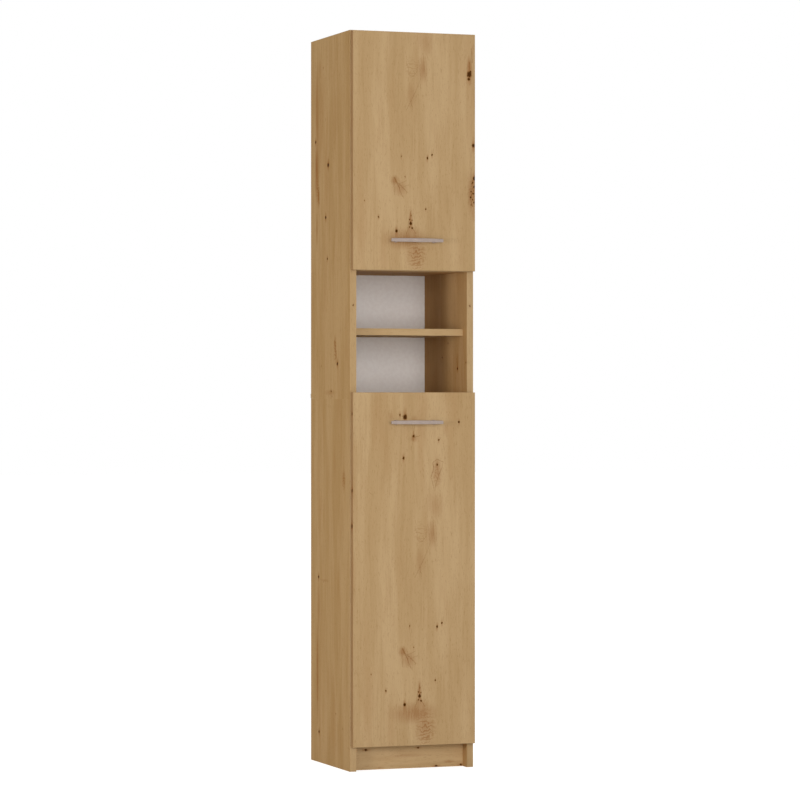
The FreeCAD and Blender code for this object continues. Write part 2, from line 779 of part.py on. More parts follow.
def arm_outline():
    """Side view of the arm's cheeks in plan: nose, body and foot."""
    return [(arm_top, arm_nose_front), (arm_nose_low, arm_nose_front),
            (arm_nose_low, arm_nose_rear), (arm_skirt, arm_web_front),
            (arm_skirt, arm_foot_front), (-plate_base, arm_foot_front),
            (-plate_base, arm_foot_rear), (arm_skirt, arm_foot_rear),
            (arm_skirt, arm_rear), (arm_top, arm_rear)]


def hinge_arm(z):
    """A channel open towards the side, whose nose holds the links' pins."""
    half = arm_cheek_outer
    outline = [plan(p) for p in arm_outline()]
    cheeks = [flat_plate(outline, z + low, z + high) for low, high in both_sides(arm_cheek_inner, half)]
    top_x = inner_x + arm_top
    web = block(top_x, top_x + arm_sheet, front_y + arm_web_front, front_y + arm_rear, z - half, z + half)
    bores = [pin_rod(p, z, -half, half) for p in (arm_outer_pin, arm_inner_pin)]
    bores += [rod(arm_screw_radius + screw_clearance, hinge_point(arm_top, v, z), ALONG_X, arm_sheet)
              for v in arm_screw_places]
    return without(joined(cheeks + [web]), bores)


def arm_rivet(place, z, sign, reach):
    """A pin from outside a cheek to the given height, with a flat head."""
    x, y = plan(place)
    profile = [(-hinge_rivet_head, hinge_rivet_radius), (0, hinge_rivet_radius), (0, hinge_pin_radius),
               (arm_cheek_outer - reach, hinge_pin_radius)]
    return turned_piece(profile, Vector(x, y, z + sign * arm_cheek_outer), ALONG_Z * -sign)


def arm_pins(z):
    """Two short rivets for the outer link and one long pin for the inner link."""
    rivets = [arm_rivet(arm_outer_pin, z, s, pin_stub_end) for s in side_signs()]
    return rivets + [arm_rivet(arm_inner_pin, z, 1, -arm_cheek_outer)]


def mounting_plate(z):
    """A cross plate on the side, with a block that fits between the arm's cheeks."""
    y0, y1 = front_y + arm_foot_front, front_y + arm_foot_rear
    base_x = inner_x - plate_base
    half = arm_cheek_outer
    raised = arm_cheek_inner - plate_block_gap
    solids = [block(base_x, inner_x, y0, y1, z - half, z + half),
              block(inner_x - plate_block, base_x, y0, y1, z - raised, z + raised)]
    places = plate_screw_places([z])
    y0, y1 = front_y + plate_line - plate_wing_radius, front_y + plate_line + plate_wing_radius
    solids.append(block(base_x, inner_x, y0, y1, z - plate_screw_rise, z + plate_screw_rise))
    solids += [rod(plate_wing_radius, Vector(base_x, *place), ALONG_X, plate_base) for place in places]
    bores = [rod(plate_screw_radius, Vector(base_x, *place), ALONG_X, plate_base) for place in places]
    bores += [rod(arm_screw_radius, hinge_point(-plate_block, v, z), ALONG_X, arm_screw_bite)
              for v in arm_screw_places]
    return without(joined(solids), bores)


def plate_screw(y, z):
    length = plate_base + plate_screw_depth
    head = plate_screw_head
    profile = [(-head, plate_screw_crown_radius), (-head / 2, plate_screw_head_radius),
               (0, plate_screw_head_radius), (0, plate_screw_radius), (length, plate_screw_radius)]
    return turned_piece(profile, Vector(inner_x - plate_base, y, z), ALONG_X)


def arm_screw(v, z):
    length = -arm_top - plate_block + arm_screw_bite
    profile = [(-arm_screw_head, arm_screw_head_radius), (0, arm_screw_head_radius), (0, arm_screw_radius),
               (length, arm_screw_radius)]
    return turned_piece(profile, hinge_point(arm_top, v, z), ALONG_X)


def make_hinges():
    save("hinge_arms", [hinge_arm(z) for z in hinge_heights])
    save("hinge_arm_pins", [pin for z in hinge_heights for pin in arm_pins(z)])
    save("hinge_mounting_plates", [mounting_plate(z) for z in hinge_heights])
    save("hinge_plate_screws", [plate_screw(y, z) for y, z in plate_screw_places(hinge_heights)])
    save("hinge_adjusting_screws", [arm_screw(v, z) for z in hinge_heights for v in arm_screw_places])
    for word, heights in (("lower", lower_hinge_heights), ("upper", upper_hinge_heights)):
        save(word + "_hinge_cups", [hinge_cup(z) for z in heights])
        save(word + "_hinge_cup_pins", [pin for z in heights for pin in cup_pins(z)])
        ears = [place for z in heights for place in cup_screw_places(z)]
        save(word + "_hinge_cup_screws", [wood_screw(place, ALONG_Y * -1) for place in ears])
        save(word + "_outer_links", [outer_link(z) for z in heights])
        save(word + "_inner_links", [inner_link(z) for z in heights])


def main():
    os.makedirs("parts", exist_ok=True)
    make_sides()
    make_fixed_panels()
    make_plinth()
    make_cams()
    make_dowels()
    make_back()
    make_nails()
    make_wall_bracket()
    make_corner_brackets()
    make_loose_shelves()
    make_door("lower", lower_door_range, lower_handle_z, lower_hinge_heights)
    make_door("upper", upper_door_range, upper_handle_z, upper_hinge_heights)
    make_hinges()


main()
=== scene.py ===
import math
import bpy
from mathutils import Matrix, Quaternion, Vector


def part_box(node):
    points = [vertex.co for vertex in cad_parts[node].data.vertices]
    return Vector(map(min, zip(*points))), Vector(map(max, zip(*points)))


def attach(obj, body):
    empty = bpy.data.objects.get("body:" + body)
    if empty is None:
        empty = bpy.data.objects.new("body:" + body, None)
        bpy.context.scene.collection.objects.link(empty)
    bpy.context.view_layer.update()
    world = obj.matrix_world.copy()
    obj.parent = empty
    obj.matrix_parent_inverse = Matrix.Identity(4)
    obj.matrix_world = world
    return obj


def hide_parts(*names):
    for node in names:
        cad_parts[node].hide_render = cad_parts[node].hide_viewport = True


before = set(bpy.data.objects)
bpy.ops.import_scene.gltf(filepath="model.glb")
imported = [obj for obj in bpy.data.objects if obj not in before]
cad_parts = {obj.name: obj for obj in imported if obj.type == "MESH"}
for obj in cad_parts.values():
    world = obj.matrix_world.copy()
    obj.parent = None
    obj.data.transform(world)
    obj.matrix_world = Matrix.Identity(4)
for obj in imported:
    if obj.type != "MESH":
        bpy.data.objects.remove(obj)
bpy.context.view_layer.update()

mmPerMetre = 1000.0
print("frame loaded:", len(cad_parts), "nodes")


def toLinear(hexColour):
    parts = [int(hexColour[i:i + 2], 16) / 255 for i in (1, 3, 5)]
    linear = [c / 12.92 if c <= 0.04045 else ((c + 0.055) / 1.055) ** 2.4 for c in parts]
    return (*linear, 1.0)


def addNode(tree, kind, inputs=None, **settings):
    # an input is another node's socket, a number or a hex colour
    node = tree.nodes.new("ShaderNode" + kind)
    for name, value in settings.items():
        setattr(node, name, value)
    for name, value in (inputs or {}).items():
        if isinstance(value, bpy.types.NodeSocket):
            tree.links.new(value, node.inputs[name])
        else:
            node.inputs[name].default_value = toLinear(value) if isinstance(value, str) else value
    return node


def newMaterial(name):
    material = bpy.data.materials.new(name)
    material.use_nodes = True
    material.node_tree.nodes.clear()
    return material, material.node_tree


def finishMaterial(tree, inputs):
    shader = addNode(tree, "BsdfPrincipled", inputs)
    addNode(tree, "OutputMaterial", {"Surface": shader.outputs[0]})


def deselectAll():
    if bpy.context.object and bpy.context.object.mode != "OBJECT":
        bpy.ops.object.mode_set(mode="OBJECT")
    bpy.ops.object.select_all(action="DESELECT")


# camera: level, a little below the niche, 20 degrees round to the left, long lens
cameraView = {
    "place": (-2.7322, -7.5062, 0.872),
    "turnDegrees": -20.1,
    "lens": 150.1,
    "sensorWidth": 36.0,
}

deselectAll()
bpy.ops.object.camera_add(location=cameraView["place"],
                          rotation=(math.radians(90), 0, math.radians(cameraView["turnDegrees"])))
camera = bpy.context.object
camera.data.lens = cameraView["lens"]
camera.data.sensor_width = cameraView["sensorWidth"]
bpy.context.scene.camera = camera
bpy.context.scene.view_settings.view_transform = "Standard"
print("camera placed")


# studio: white surroundings, a soft lamp beside the camera and a smaller one far round to the left.
# The lamps above and behind light the sides that the photograph doesn't show.
studio = {
    "floorSize": 60.0,
    "floorColour": "#C8C8C8",
    "floorGlow": 0.8,        # added where the camera or metal sees the floor
    "skyStrength": 0.45,     # on the object
    "skySeen": 1.0,          # where the camera or metal sees it
    "skyColour": "#FFFFFF",
    "lamps": (
        {"name": "keyLamp", "place": (-0.8, -6.4, 0.95), "aim": (0, 0, 0.9), "size": 4.0, "watts": 236.0},
        {"name": "leftLamp", "place": (-4.3, -2.15, 1.0), "aim": (0, 0, 0.9), "size": 1.2, "watts": 62.0},
        {"name": "topLamp", "place": (0.2, 0.5, 5.2), "aim": (0, 0, 1.7), "size": 1.6, "watts": 44.0},
        {"name": "backLamp", "place": (3.6, 4.6, 2.0), "aim": (0, 0, 0.9), "size": 3.0, "watts": 75.0},
    ),
}


def whiteWhereSeen(tree):
    # 1 for what the camera sees, straight or in metal, 0 for the light on the object
    path = addNode(tree, "LightPath")
    direct = addNode(tree, "Math", {0: path.outputs["Is Camera Ray"], 1: path.outputs["Is Glossy Ray"]},
                     operation="ADD")
    seen = addNode(tree, "Math", {0: direct.outputs[0], 1: path.outputs["Is Transmission Ray"]},
                   operation="ADD", use_clamp=True)
    return seen.outputs[0]


def makeSky():
    world = bpy.data.worlds.new("studioSky")
    bpy.context.scene.world = world
    world.use_nodes = True
    tree = world.node_tree
    tree.nodes.clear()
    strength = addNode(tree, "MapRange", {"Value": whiteWhereSeen(tree),
                                          "To Min": studio["skyStrength"], "To Max": studio["skySeen"]})
    sky = addNode(tree, "Background", {"Strength": strength.outputs[0], "Color": studio["skyColour"]})
    addNode(tree, "OutputWorld", {"Surface": sky.outputs[0]})


def makeFloor():
    deselectAll()
    bpy.ops.mesh.primitive_plane_add(size=studio["floorSize"], location=(0, 0, 0))
    floor = bpy.context.object
    floor.name = "studioFloor"
    material, tree = newMaterial("matt white studio paper")
    glow = addNode(tree, "Math", {0: whiteWhereSeen(tree), 1: studio["floorGlow"]}, operation="MULTIPLY")
    paper = addNode(tree, "BsdfDiffuse", {"Color": studio["floorColour"]})
    white = addNode(tree, "Emission", {"Strength": glow.outputs[0]})
    both = addNode(tree, "AddShader", {0: paper.outputs[0], 1: white.outputs[0]})
    addNode(tree, "OutputMaterial", {"Surface": both.outputs[0]})
    floor.data.materials.append(material)


def makeLamp(lamp):
    deselectAll()
    bpy.ops.object.light_add(type="AREA", location=lamp["place"])
    light = bpy.context.object
    light.name = lamp["name"]
    light.data.shape = "DISK"
    light.data.size = lamp["size"]
    light.data.energy = lamp["watts"]
    light.visible_glossy = False     # metal shows the white surroundings instead of the lamp's disk
    away = Vector(lamp["aim"]) - Vector(lamp["place"])
    light.rotation_euler = away.to_track_quat("-Z", "Y").to_euler()


makeSky()
makeFloor()
for lamp in studio["lamps"]:
    makeLamp(lamp)
print("studio lit")


# Knotty oak decor: a print on melamine paper, pressed matt. It gives soft upright bands of honey and
# straw in long flames, fine darker pores, and small dark knots that the grain flows round.
# Lengths are millimetres of the print. A pair is (across the grain, along it).
oakDecor = {
    "pale": "#BC9E75",
    "honey": "#B3946A",
    "warm": "#AB885E",
    "deep": "#9B794E",
    "poreColour": "#8A6639",
    "smudgeAndShadeColour": "#94683F",
    "knotColour": "#46290D",
    "knotRim": "#7A4F24",
    # a pattern is a noise stretched along the grain: its size, the slice of the noise that it takes, its
    # detail and, where it moves the print about, how far
    "patterns": {
        "fray": ((3.0, 4.6), 3.3, 2.0, 2.2),
        "rings": ((30.0, 260.0), 5.1, 2.0, 7.0),
        "wave": ((70.0, 240.0), 7.7, 2.0, 9.0),
        "bands": ((46.0, 420.0), 11.0, 3.0),
        "flames": ((34.0, 150.0), 17.0, 2.0),
        "warmth": ((38.0, 260.0), 23.0, 2.0),
        "streaks": ((7.5, 170.0), 31.0, 3.0),
        "fibres": ((1.7, 42.0), 43.0, 2.0),
        "pores": ((1.0, 12.0), 57.0, 1.0),       # twice the real size, so that the pores show
        "ripples": ((16.0, 30.0), 71.0, 2.0, 5.0),
        "pressedFibres": ((1.7, 42.0), 83.0, 2.0),
        "pressedPores": ((1.0, 12.0), 91.0, 1.0),
    },
    "grainRoughness": 0.55,
    "ringSpacing": 5.2,
    "sliceLean": 0.06,                  # how fast the board leaves the heart of the trunk
    # where in its pattern a colour starts, where it is full, and its share there unless a mark gives that
    "bandLevels": (0.38, 0.62, 1.0),
    "warmLevels": (0.5, 0.72, 0.5),
    "flameLevels": (0.45, 0.68, 0.26),  # the share of the rings, which show only in flames
    "ringLevels": (0.45, 0.68),
    "streakLevels": (0.5, 0.75, 0.2),
    "fibreLevels": (0.5, 0.74, 0.16),
    "poreLevels": (0.6, 0.72, 0.35),
    "smudgeAndShadeLevels": (0.05, 0.6),
    "rippleLevels": (0.5, 1.0),
    "strokeLevels": (0.0, 1.0, 1.0),
    "smearLevels": (0.0, 1.0, 0.8),
    "knotRimLevels": (0.15, 0.5, 0.85),
    "knotLevels": (0.38, 0.62, 1.0),
    "knotReach": 3.4,                   # the grain bends within so many radii
    "knotFade": 2.0,                    # a knot's colour ends at so many radii
    "smearShape": (0.5, 0.17),          # the reddish smear reaches 2 radii across and 6 along
    "flowShare": 0.5,
    "zoneCore": 0.1,                    # the part of a smudge that is equally strong
    "rippleLength": 9.0,
    "rippleBend": 9.0,
    "rippleFineness": 2.4,
    "roughness": 0.6,
    "specular": 0.04,
    "grooveDepth": 0.00012,
    "grooveStrength": 0.5,
}

# Where the print has its knots and smudges, with the painted shade round the upper handle: across and along
# the grain, measured on each board's outer face. A knot is (across, along, radius, darkness). A smudge, or a
# patch of painted shade, is (across, along, half width, half height, strength), and so is a feather, where
# the fibres ripple. A stroke is a fibre that leaves the grain: (across, along, across at its end, along at
# its end, half width, strength).
doorKnots = (
    (138.3, 1643.5, 4.8, 1), (137, 1632.5, 2.8, 0.85), (141, 1650, 2.2, 0.8), (134.6, 1640, 2, 0.7),
    (148.5, 1475, 3, 1), (-33.5, 1445.5, 1.6, 0.7), (32.3, 1442.2, 2.1, 0.85), (43.9, 1450.3, 1.7, 0.8),
    (-23.5, 1397.1, 1.3, 0.6), (-90.2, 1301.5, 1.6, 0.75), (28, 1322.3, 1.5, 0.75), (-9.7, 1288, 2.9, 1),
    (-6, 1277, 1.8, 0.8), (-12.8, 1279, 1.7, 0.75), (-12.5, 1297, 1.6, 0.75), (-6.2, 1295, 1.4, 0.7),
    (-9, 1306, 1.2, 0.6), (-45.5, 1269.2, 2.6, 1), (151, 1397, 3, 1), (147, 1387, 2, 0.85),
    (150.5, 1377, 1.9, 0.9), (143, 1366, 1.8, 0.8), (148.5, 1361, 1.9, 0.85),
    (141.6, 1352, 1.9, 0.9), (146.5, 1347, 1.7, 0.8), (150.5, 1340, 1.8, 0.75), (143, 1334, 1.4, 0.7),
    (-125.1, 1339.5, 1.5, 0.5), (-44.3, 1913.9, 3.7, 1), (-56.6, 1918.4, 2, 0.7), (85, 1902.4, 1.9, 0.85),
    (-23.9, 1871.2, 2.3, 0.8), (36.5, 1862, 1.8, 0.7), (-48.1, 1822, 2.2, 0.9), (32.4, 1806.8, 2, 0.75),
    (-174.9, 1921.3, 2.2, 0.9), (-174.9, 1749.9, 3, 0.9), (-175.9, 1670.3, 3.2, 1),
)
doorSmudgesAndHandleShade = (
    (138, 1666, 8, 30, 0.75), (146, 1700, 5, 26, 0.35), (-49, 1388, 15, 16, 0.8),
    # The two smudges round the upper handle, at (-6, 1264) and (-22, 1250), are partly the print's darker
    # figure and partly painted shade: the handle's soft halo above and below it. On the lower door, whose
    # print is shifted, they fall near the bottom as plain darker patches.
    (-36, 1370, 24, 24, 0.55), (-9.7, 1304, 6, 28, 0.7), (-6, 1264, 30, 22, 0.55),
    (-22, 1250, 74, 32, 0.75), (3, 1222, 30, 58, 0.5), (145, 1364, 16, 70, 0.7),
    (149, 1318, 7, 34, 0.5), (21, 1652, 16, 44, 0.55), (-8, 1590, 17, 40, 0.3),
    (-23, 1866, 13, 12, 0.6), (32, 1790, 15, 50, 0.5), (28, 1716, 26, 44, 0.35),
    (-78, 1916, 9, 12, 0.4), (54, 1888, 8, 26, 0.3), (-22, 1910, 12, 10, 0.35),
)
doorFeathers = (
    (5, 1214, 32, 62, 0.8), (145, 1368, 12, 46, 0.6), (31, 1784, 14, 40, 0.4),
    (-6, 1652, 24, 34, 0.35),
)
doorStrokes = (
    (-51, 1396, -38, 1370, 2.4, 0.6), (-46, 1388, -30, 1350, 1.8, 0.5),
    (-43, 1384, -18, 1361, 1.9, 0.5), (-52, 1386, -50, 1354, 1.7, 0.4),
    (-41, 1380, -20, 1388, 1.6, 0.4), (-33, 1372, -14, 1378, 1.5, 0.35),
    (-9.7, 1290, -10, 1316, 1.4, 0.5), (-9, 1284, 3, 1264, 1.5, 0.5),
    (-11, 1284, -21, 1264, 1.4, 0.5), (-14, 1296, -17, 1276, 1.2, 0.5),
    (138, 1645, 138.5, 1672, 2.2, 0.7), (141, 1636, 140, 1618, 1.4, 0.5),
    (143, 1704, 146, 1672, 1.4, 0.5), (152, 1404, 144, 1384, 1.8, 0.85),
    (144, 1384, 149, 1368, 1.6, 0.75), (149, 1368, 141, 1350, 1.8, 0.85),
    (141, 1350, 147, 1330, 1.6, 0.75), (139, 1374, 137, 1340, 1.4, 0.4),
    (22, 1690, 25, 1648, 1.6, 0.35), (25, 1648, 30, 1612, 1.4, 0.3),
    (10, 1672, 16, 1630, 1.5, 0.35), (16, 1630, -2, 1588, 1.6, 0.35),
    (-18, 1662, -13.4, 1637, 1.3, 0.4), (-13.4, 1637, -3.9, 1633, 1.3, 0.4),
    (-3.9, 1633, 5.6, 1646, 1.3, 0.4), (5.6, 1646, 8, 1662, 1.3, 0.35),
    (3, 1600, -8, 1578, 1.6, 0.4), (-8, 1578, -21, 1554, 1.5, 0.4),
    (-8, 1578, -5, 1550, 1.3, 0.35), (-28, 1862, -20, 1898, 1.4, 0.5),
    (-26, 1868, -8, 1872, 1.3, 0.6), (-24, 1866, -30, 1840, 1.3, 0.3),
    (42, 1868, 34, 1856, 1.1, 0.5), (24.4, 1799, 22.1, 1812, 1.5, 0.5),
    (22.1, 1812, 33.3, 1819, 1.5, 0.5), (33.3, 1819, 46.9, 1812, 1.5, 0.5),
    (46.9, 1812, 44.5, 1801, 1.5, 0.45), (24, 1798, 17.5, 1778, 1.6, 0.5),
    (17.5, 1778, 25, 1754, 1.5, 0.45), (44, 1800, 36, 1782, 1.6, 0.5),
    (36, 1782, 30, 1764, 1.5, 0.45), (30, 1764, 26, 1746, 1.4, 0.4),
    (-130, 1746, -122, 1740, 1.2, 0.5), (-51, 1916, -40, 1916, 1.6, 0.8),
)
leftUpperKnots = (
    (128.4, 1494.6, 3.8, 0.95), (35.1, 1433.2, 5.4, 1), (53.6, 1308.8, 4.2, 1), (41.6, 1209.6, 3.3, 0.9),
    (-31.8, 957.9, 4.2, 1), (86.2, 953.1, 1.8, 0.6), (13.9, 892.8, 2.6, 0.85), (7.5, 880.9, 1.8, 0.6),
    (72.2, 1668.1, 2.2, 0.5), (-130.6, 1094.7, 1.8, 0.8),
)
leftUpperSmudges = (
    (118, 1560, 17, 150, 0.6), (120, 1425, 19, 100, 0.9), (108, 1362, 13, 36, 0.85),
    (119, 1286, 9, 70, 0.55), (-15, 1004, 11, 30, 0.7), (-22, 976, 9, 24, 0.6),
    (20, 890, 60, 9, 0.35), (96, 1668, 14, 30, 0.3), (60, 1120, 10, 120, 0.2),
)
leftUpperFeathers = ((112, 1380, 16, 50, 0.6), (-16, 990, 14, 46, 0.6))
leftUpperStrokes = (
    (112, 1384, 100, 1344, 1.8, 0.8), (-13, 1014, -22, 972, 2, 0.7),
    (36, 1436, 30, 1448, 1.6, 0.6), (8, 1720, 6, 1660, 0.9, 0.4),
)
leftLowerKnots = (
    (106.8, 446, 3.6, 0.95), (103, 73.6, 3.8, 0.95), (-19.9, 127.5, 2, 0.6), (-69.7, 96.5, 2, 0.55),
    (70, 436, 1.8, 0.4),
)
leftLowerSmudges = (
    (-78.7, 684, 15, 34, 0.55), (115, 220, 13, 170, 0.7), (108, 380, 16, 80, 0.4),
    (-70, 600, 9, 60, 0.2), (60, 440, 40, 5, 0.3),
)
leftLowerFeathers = ((-78, 680, 16, 34, 0.6),)
leftLowerStrokes = ((110, 330, 117, 190, 1.2, 0.55), (117, 190, 119, 62, 1.2, 0.65))
rightUpperKnots = (
    (-60, 1560, 3.2, 0.95), (40, 1330, 2.4, 0.8), (88, 1120, 3.8, 1), (-20, 960, 2.4, 0.8),
    (-130.2, 1095.2, 1.8, 0.85), (96, 1470, 1.8, 0.7),
    (3.3, 1622, 1.7, 0.8), (42.6, 1588, 1.9, 0.85), (-116, 1574, 2.2, 0.9),   # these show in the niche
)
rightUpperSmudges = ((-60, 1576, 10, 30, 0.5), (88, 1140, 12, 36, 0.6), (10, 1400, 14, 80, 0.35))
rightUpperStrokes = ((86, 1124, 78, 1150, 1.6, 0.6), (-60, 1562, -54, 1584, 1.2, 0.6))
rightLowerKnots = (
    (70, 760, 2.8, 0.9), (-36, 520, 3.8, 1), (20, 300, 2.4, 0.8), (-90, 130, 3, 0.9),
    (-84, 700, 1.8, 0.7),
)
rightLowerSmudges = ((-36, 540, 12, 36, 0.6), (70, 772, 9, 24, 0.5), (30, 180, 16, 90, 0.3))
rightLowerStrokes = ((-38, 524, -46, 556, 1.6, 0.6), (22, 304, 30, 322, 1.2, 0.5))
plinthKnots = ((47.1, -105.9, 2.4, 0.95), (48, 25.4, 2, 0.8), (3, 71.2, 2.4, 0.85), (4, 134, 2.2, 0.8))
plinthSmudges = ((12.2, 104.3, 5, 22, 0.6), (4, -70, 4, 14, 0.5), (30, 0, 6, 60, 0.3))

# facing is the way a board's outer face looks, and rawSides are those without an edge band. heart is where
# the trunk's heart lies in the print. hue, saturation and value tone the broad faces, and those with edge
# the band round them. knotLength is a knot's length for its width.
plainBoard = {"scale": 1.0, "shift": (0.0, 0.0), "hue": 0.5, "saturation": 1.0, "value": 1.0,
              "edgeHue": 0.5, "edgeSaturation": 1.0, "edgeValue": 1.0, "knotLength": 1.25, "rawSides": (),
              "knots": (), "smudgesAndShade": (), "feathers": (), "strokes": ()}
uprightBoard = {**plainBoard, "grain": "Z"}
levelBoard = {**plainBoard, "grain": "X"}
# The door's edge band is printed darker, redder and more saturated than its faces: partly the band's own
# tone, partly painted shade of the gap beside the carcass.
doorBoard = {**uprightBoard, "facing": (0, -1, 0), "edgeHue": 0.49, "edgeSaturation": 1.12,
             "edgeValue": 0.82, "seed": 1.7, "heart": (24.0, 1610.0), "knots": doorKnots,
             "smudgesAndShade": doorSmudgesAndHandleShade, "feathers": doorFeathers, "strokes": doorStrokes}
# The sides' broad faces are printed redder and more saturated than the doors: painted shade, the warmer tone
# that the shaded sides take on.
leftBoard = {**uprightBoard, "facing": (-1, 0, 0), "hue": 0.4965, "saturation": 1.13,
             "knotLength": 0.75, "rawSides": ((0, 1, 0),)}
# The right sides are printed redder still and 3% brighter: painted light on their inner faces in the niche.
rightBoard = {**leftBoard, "facing": (1, 0, 0), "hue": 0.493, "value": 1.03, "edgeValue": 0.93}
shelfBoard = {**levelBoard, "facing": (0, 0, 1), "rawSides": ((0, 1, 0),)}
boards = {
    "upper_door": doorBoard,
    "lower_door": {**doorBoard, "scale": 1.05, "shift": (22.7, -1177.6)},
    "upper_left_side": {**leftBoard, "seed": 5.3, "heart": (96.0, 1420.0),
                        "knots": leftUpperKnots, "smudgesAndShade": leftUpperSmudges,
                        "feathers": leftUpperFeathers, "strokes": leftUpperStrokes},
    "lower_left_side": {**leftBoard, "seed": 9.1, "heart": (-40.0, 640.0),
                        "knots": leftLowerKnots, "smudgesAndShade": leftLowerSmudges,
                        "feathers": leftLowerFeathers, "strokes": leftLowerStrokes},
    "upper_right_side": {**rightBoard, "seed": 12.6, "heart": (10.0, 1250.0), "knots": rightUpperKnots,
                         "smudgesAndShade": rightUpperSmudges, "strokes": rightUpperStrokes},
    "lower_right_side": {**rightBoard, "seed": 15.2, "heart": (-30.0, 420.0), "knots": rightLowerKnots,
                         "smudgesAndShade": rightLowerSmudges, "strokes": rightLowerStrokes},
    # The plinth is printed 8% brighter than the other boards: painted light that lifts it out of the shade
    # under the lower door.
    "plinth_board": {**levelBoard, "facing": (0, -1, 0), "value": 1.08, "seed": 18.8, "heart": (40.0, -70.0),
                     "knots": plinthKnots, "smudgesAndShade": plinthSmudges},
    "niche_shelf": {**shelfBoard, "seed": 21.4, "heart": (40.0, 60.0), "knots": ((30.0, 60.0, 2.4, 0.9),)},
    "niche_floor": {**shelfBoard, "seed": 24.9, "heart": (-60.0, 10.0), "knots": ((-70.0, 40.0, 2.2, 0.9),)},
    # The niche ceiling is printed redder and more saturated: painted shade, the brown of its shaded underside
    # and front edge.
    "niche_ceiling": {**shelfBoard, "facing": (0, 0, -1), "hue": 0.492, "saturation": 1.15,
                      "seed": 27.3, "heart": (50.0, 30.0), "knots": ((60.0, -20.0, 2.4, 0.9),)},
    "top_panel": {**shelfBoard, "seed": 30.5, "heart": (-80.0, 20.0),
                  "knots": ((-50.0, 30.0, 3.2, 1.0), (84.0, -60.0, 2.4, 0.8)),
                  "smudgesAndShade": ((-30.0, 30.0, 30.0, 8.0, 0.5),)},
    "bottom_panel": {**shelfBoard, "seed": 33.1, "heart": (90.0, 40.0)},
    "upper_loose_shelf": {**shelfBoard, "seed": 36.7, "heart": (0.0, 30.0)},
    "lower_loose_shelf_1": {**shelfBoard, "seed": 39.2, "heart": (-90.0, -20.0)},
    "lower_loose_shelf_2": {**shelfBoard, "seed": 42.8, "heart": (70.0, 50.0)},
}

# Particleboard: pressed chips under the print, seen on raw rear edges and inside bores and cam holes
particleboard = {
    "chipSize": 2.4,
    "chipLight": "#C6A97B",
    "chipDark": "#8C6C43",
    "binder": "#6B5032",
    "binderLevels": (0.45, 0.8, 0.6),
    "skin": 0.4,             # how deep a surface must lie inside the board's outline to be a cut one
    "roughness": 0.8,
    "bumpDepth": 0.0003,
}
edgeTurn = 0.7           # a face whose normal leans this far towards the grain is an end edge
broadTurn = 0.5          # and this far towards the board's facing, its outer face
innerShift = 613.0       # the inner face shows another stretch of the print


def findCutFaces(tree, position, normal, nodeName, board):
    # 1 on raw edges and inside bores and cam holes, 0 on printed faces and edges
    low, high = (Vector(corner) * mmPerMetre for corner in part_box(nodeName))
    fromMiddle = addNode(tree, "VectorMath", {0: position, 1: (low + high) / 2}, operation="SUBTRACT")
    size = addNode(tree, "VectorMath", {0: fromMiddle.outputs[0]}, operation="ABSOLUTE")
    sunk = addNode(tree, "VectorMath", {0: (high - low) / 2, 1: size.outputs[0]}, operation="SUBTRACT")
    depths = addNode(tree, "SeparateXYZ", {0: sunk.outputs[0]}).outputs
    least = addNode(tree, "Math", {0: depths["X"], 1: depths["Y"]}, operation="MINIMUM")
    least = addNode(tree, "Math", {0: least.outputs[0], 1: depths["Z"]}, operation="MINIMUM")
    cut = addNode(tree, "Math", {0: least.outputs[0], 1: particleboard["skin"]},
                  operation="GREATER_THAN").outputs[0]
    for side in board["rawSides"]:
        towards = addNode(tree, "VectorMath", {0: normal, 1: side}, operation="DOT_PRODUCT")
        raw = addNode(tree, "Math", {0: towards.outputs["Value"], 1: edgeTurn}, operation="GREATER_THAN")
        cut = addNode(tree, "Math", {0: cut, 1: raw.outputs[0]}, operation="MAXIMUM").outputs[0]
    return cut


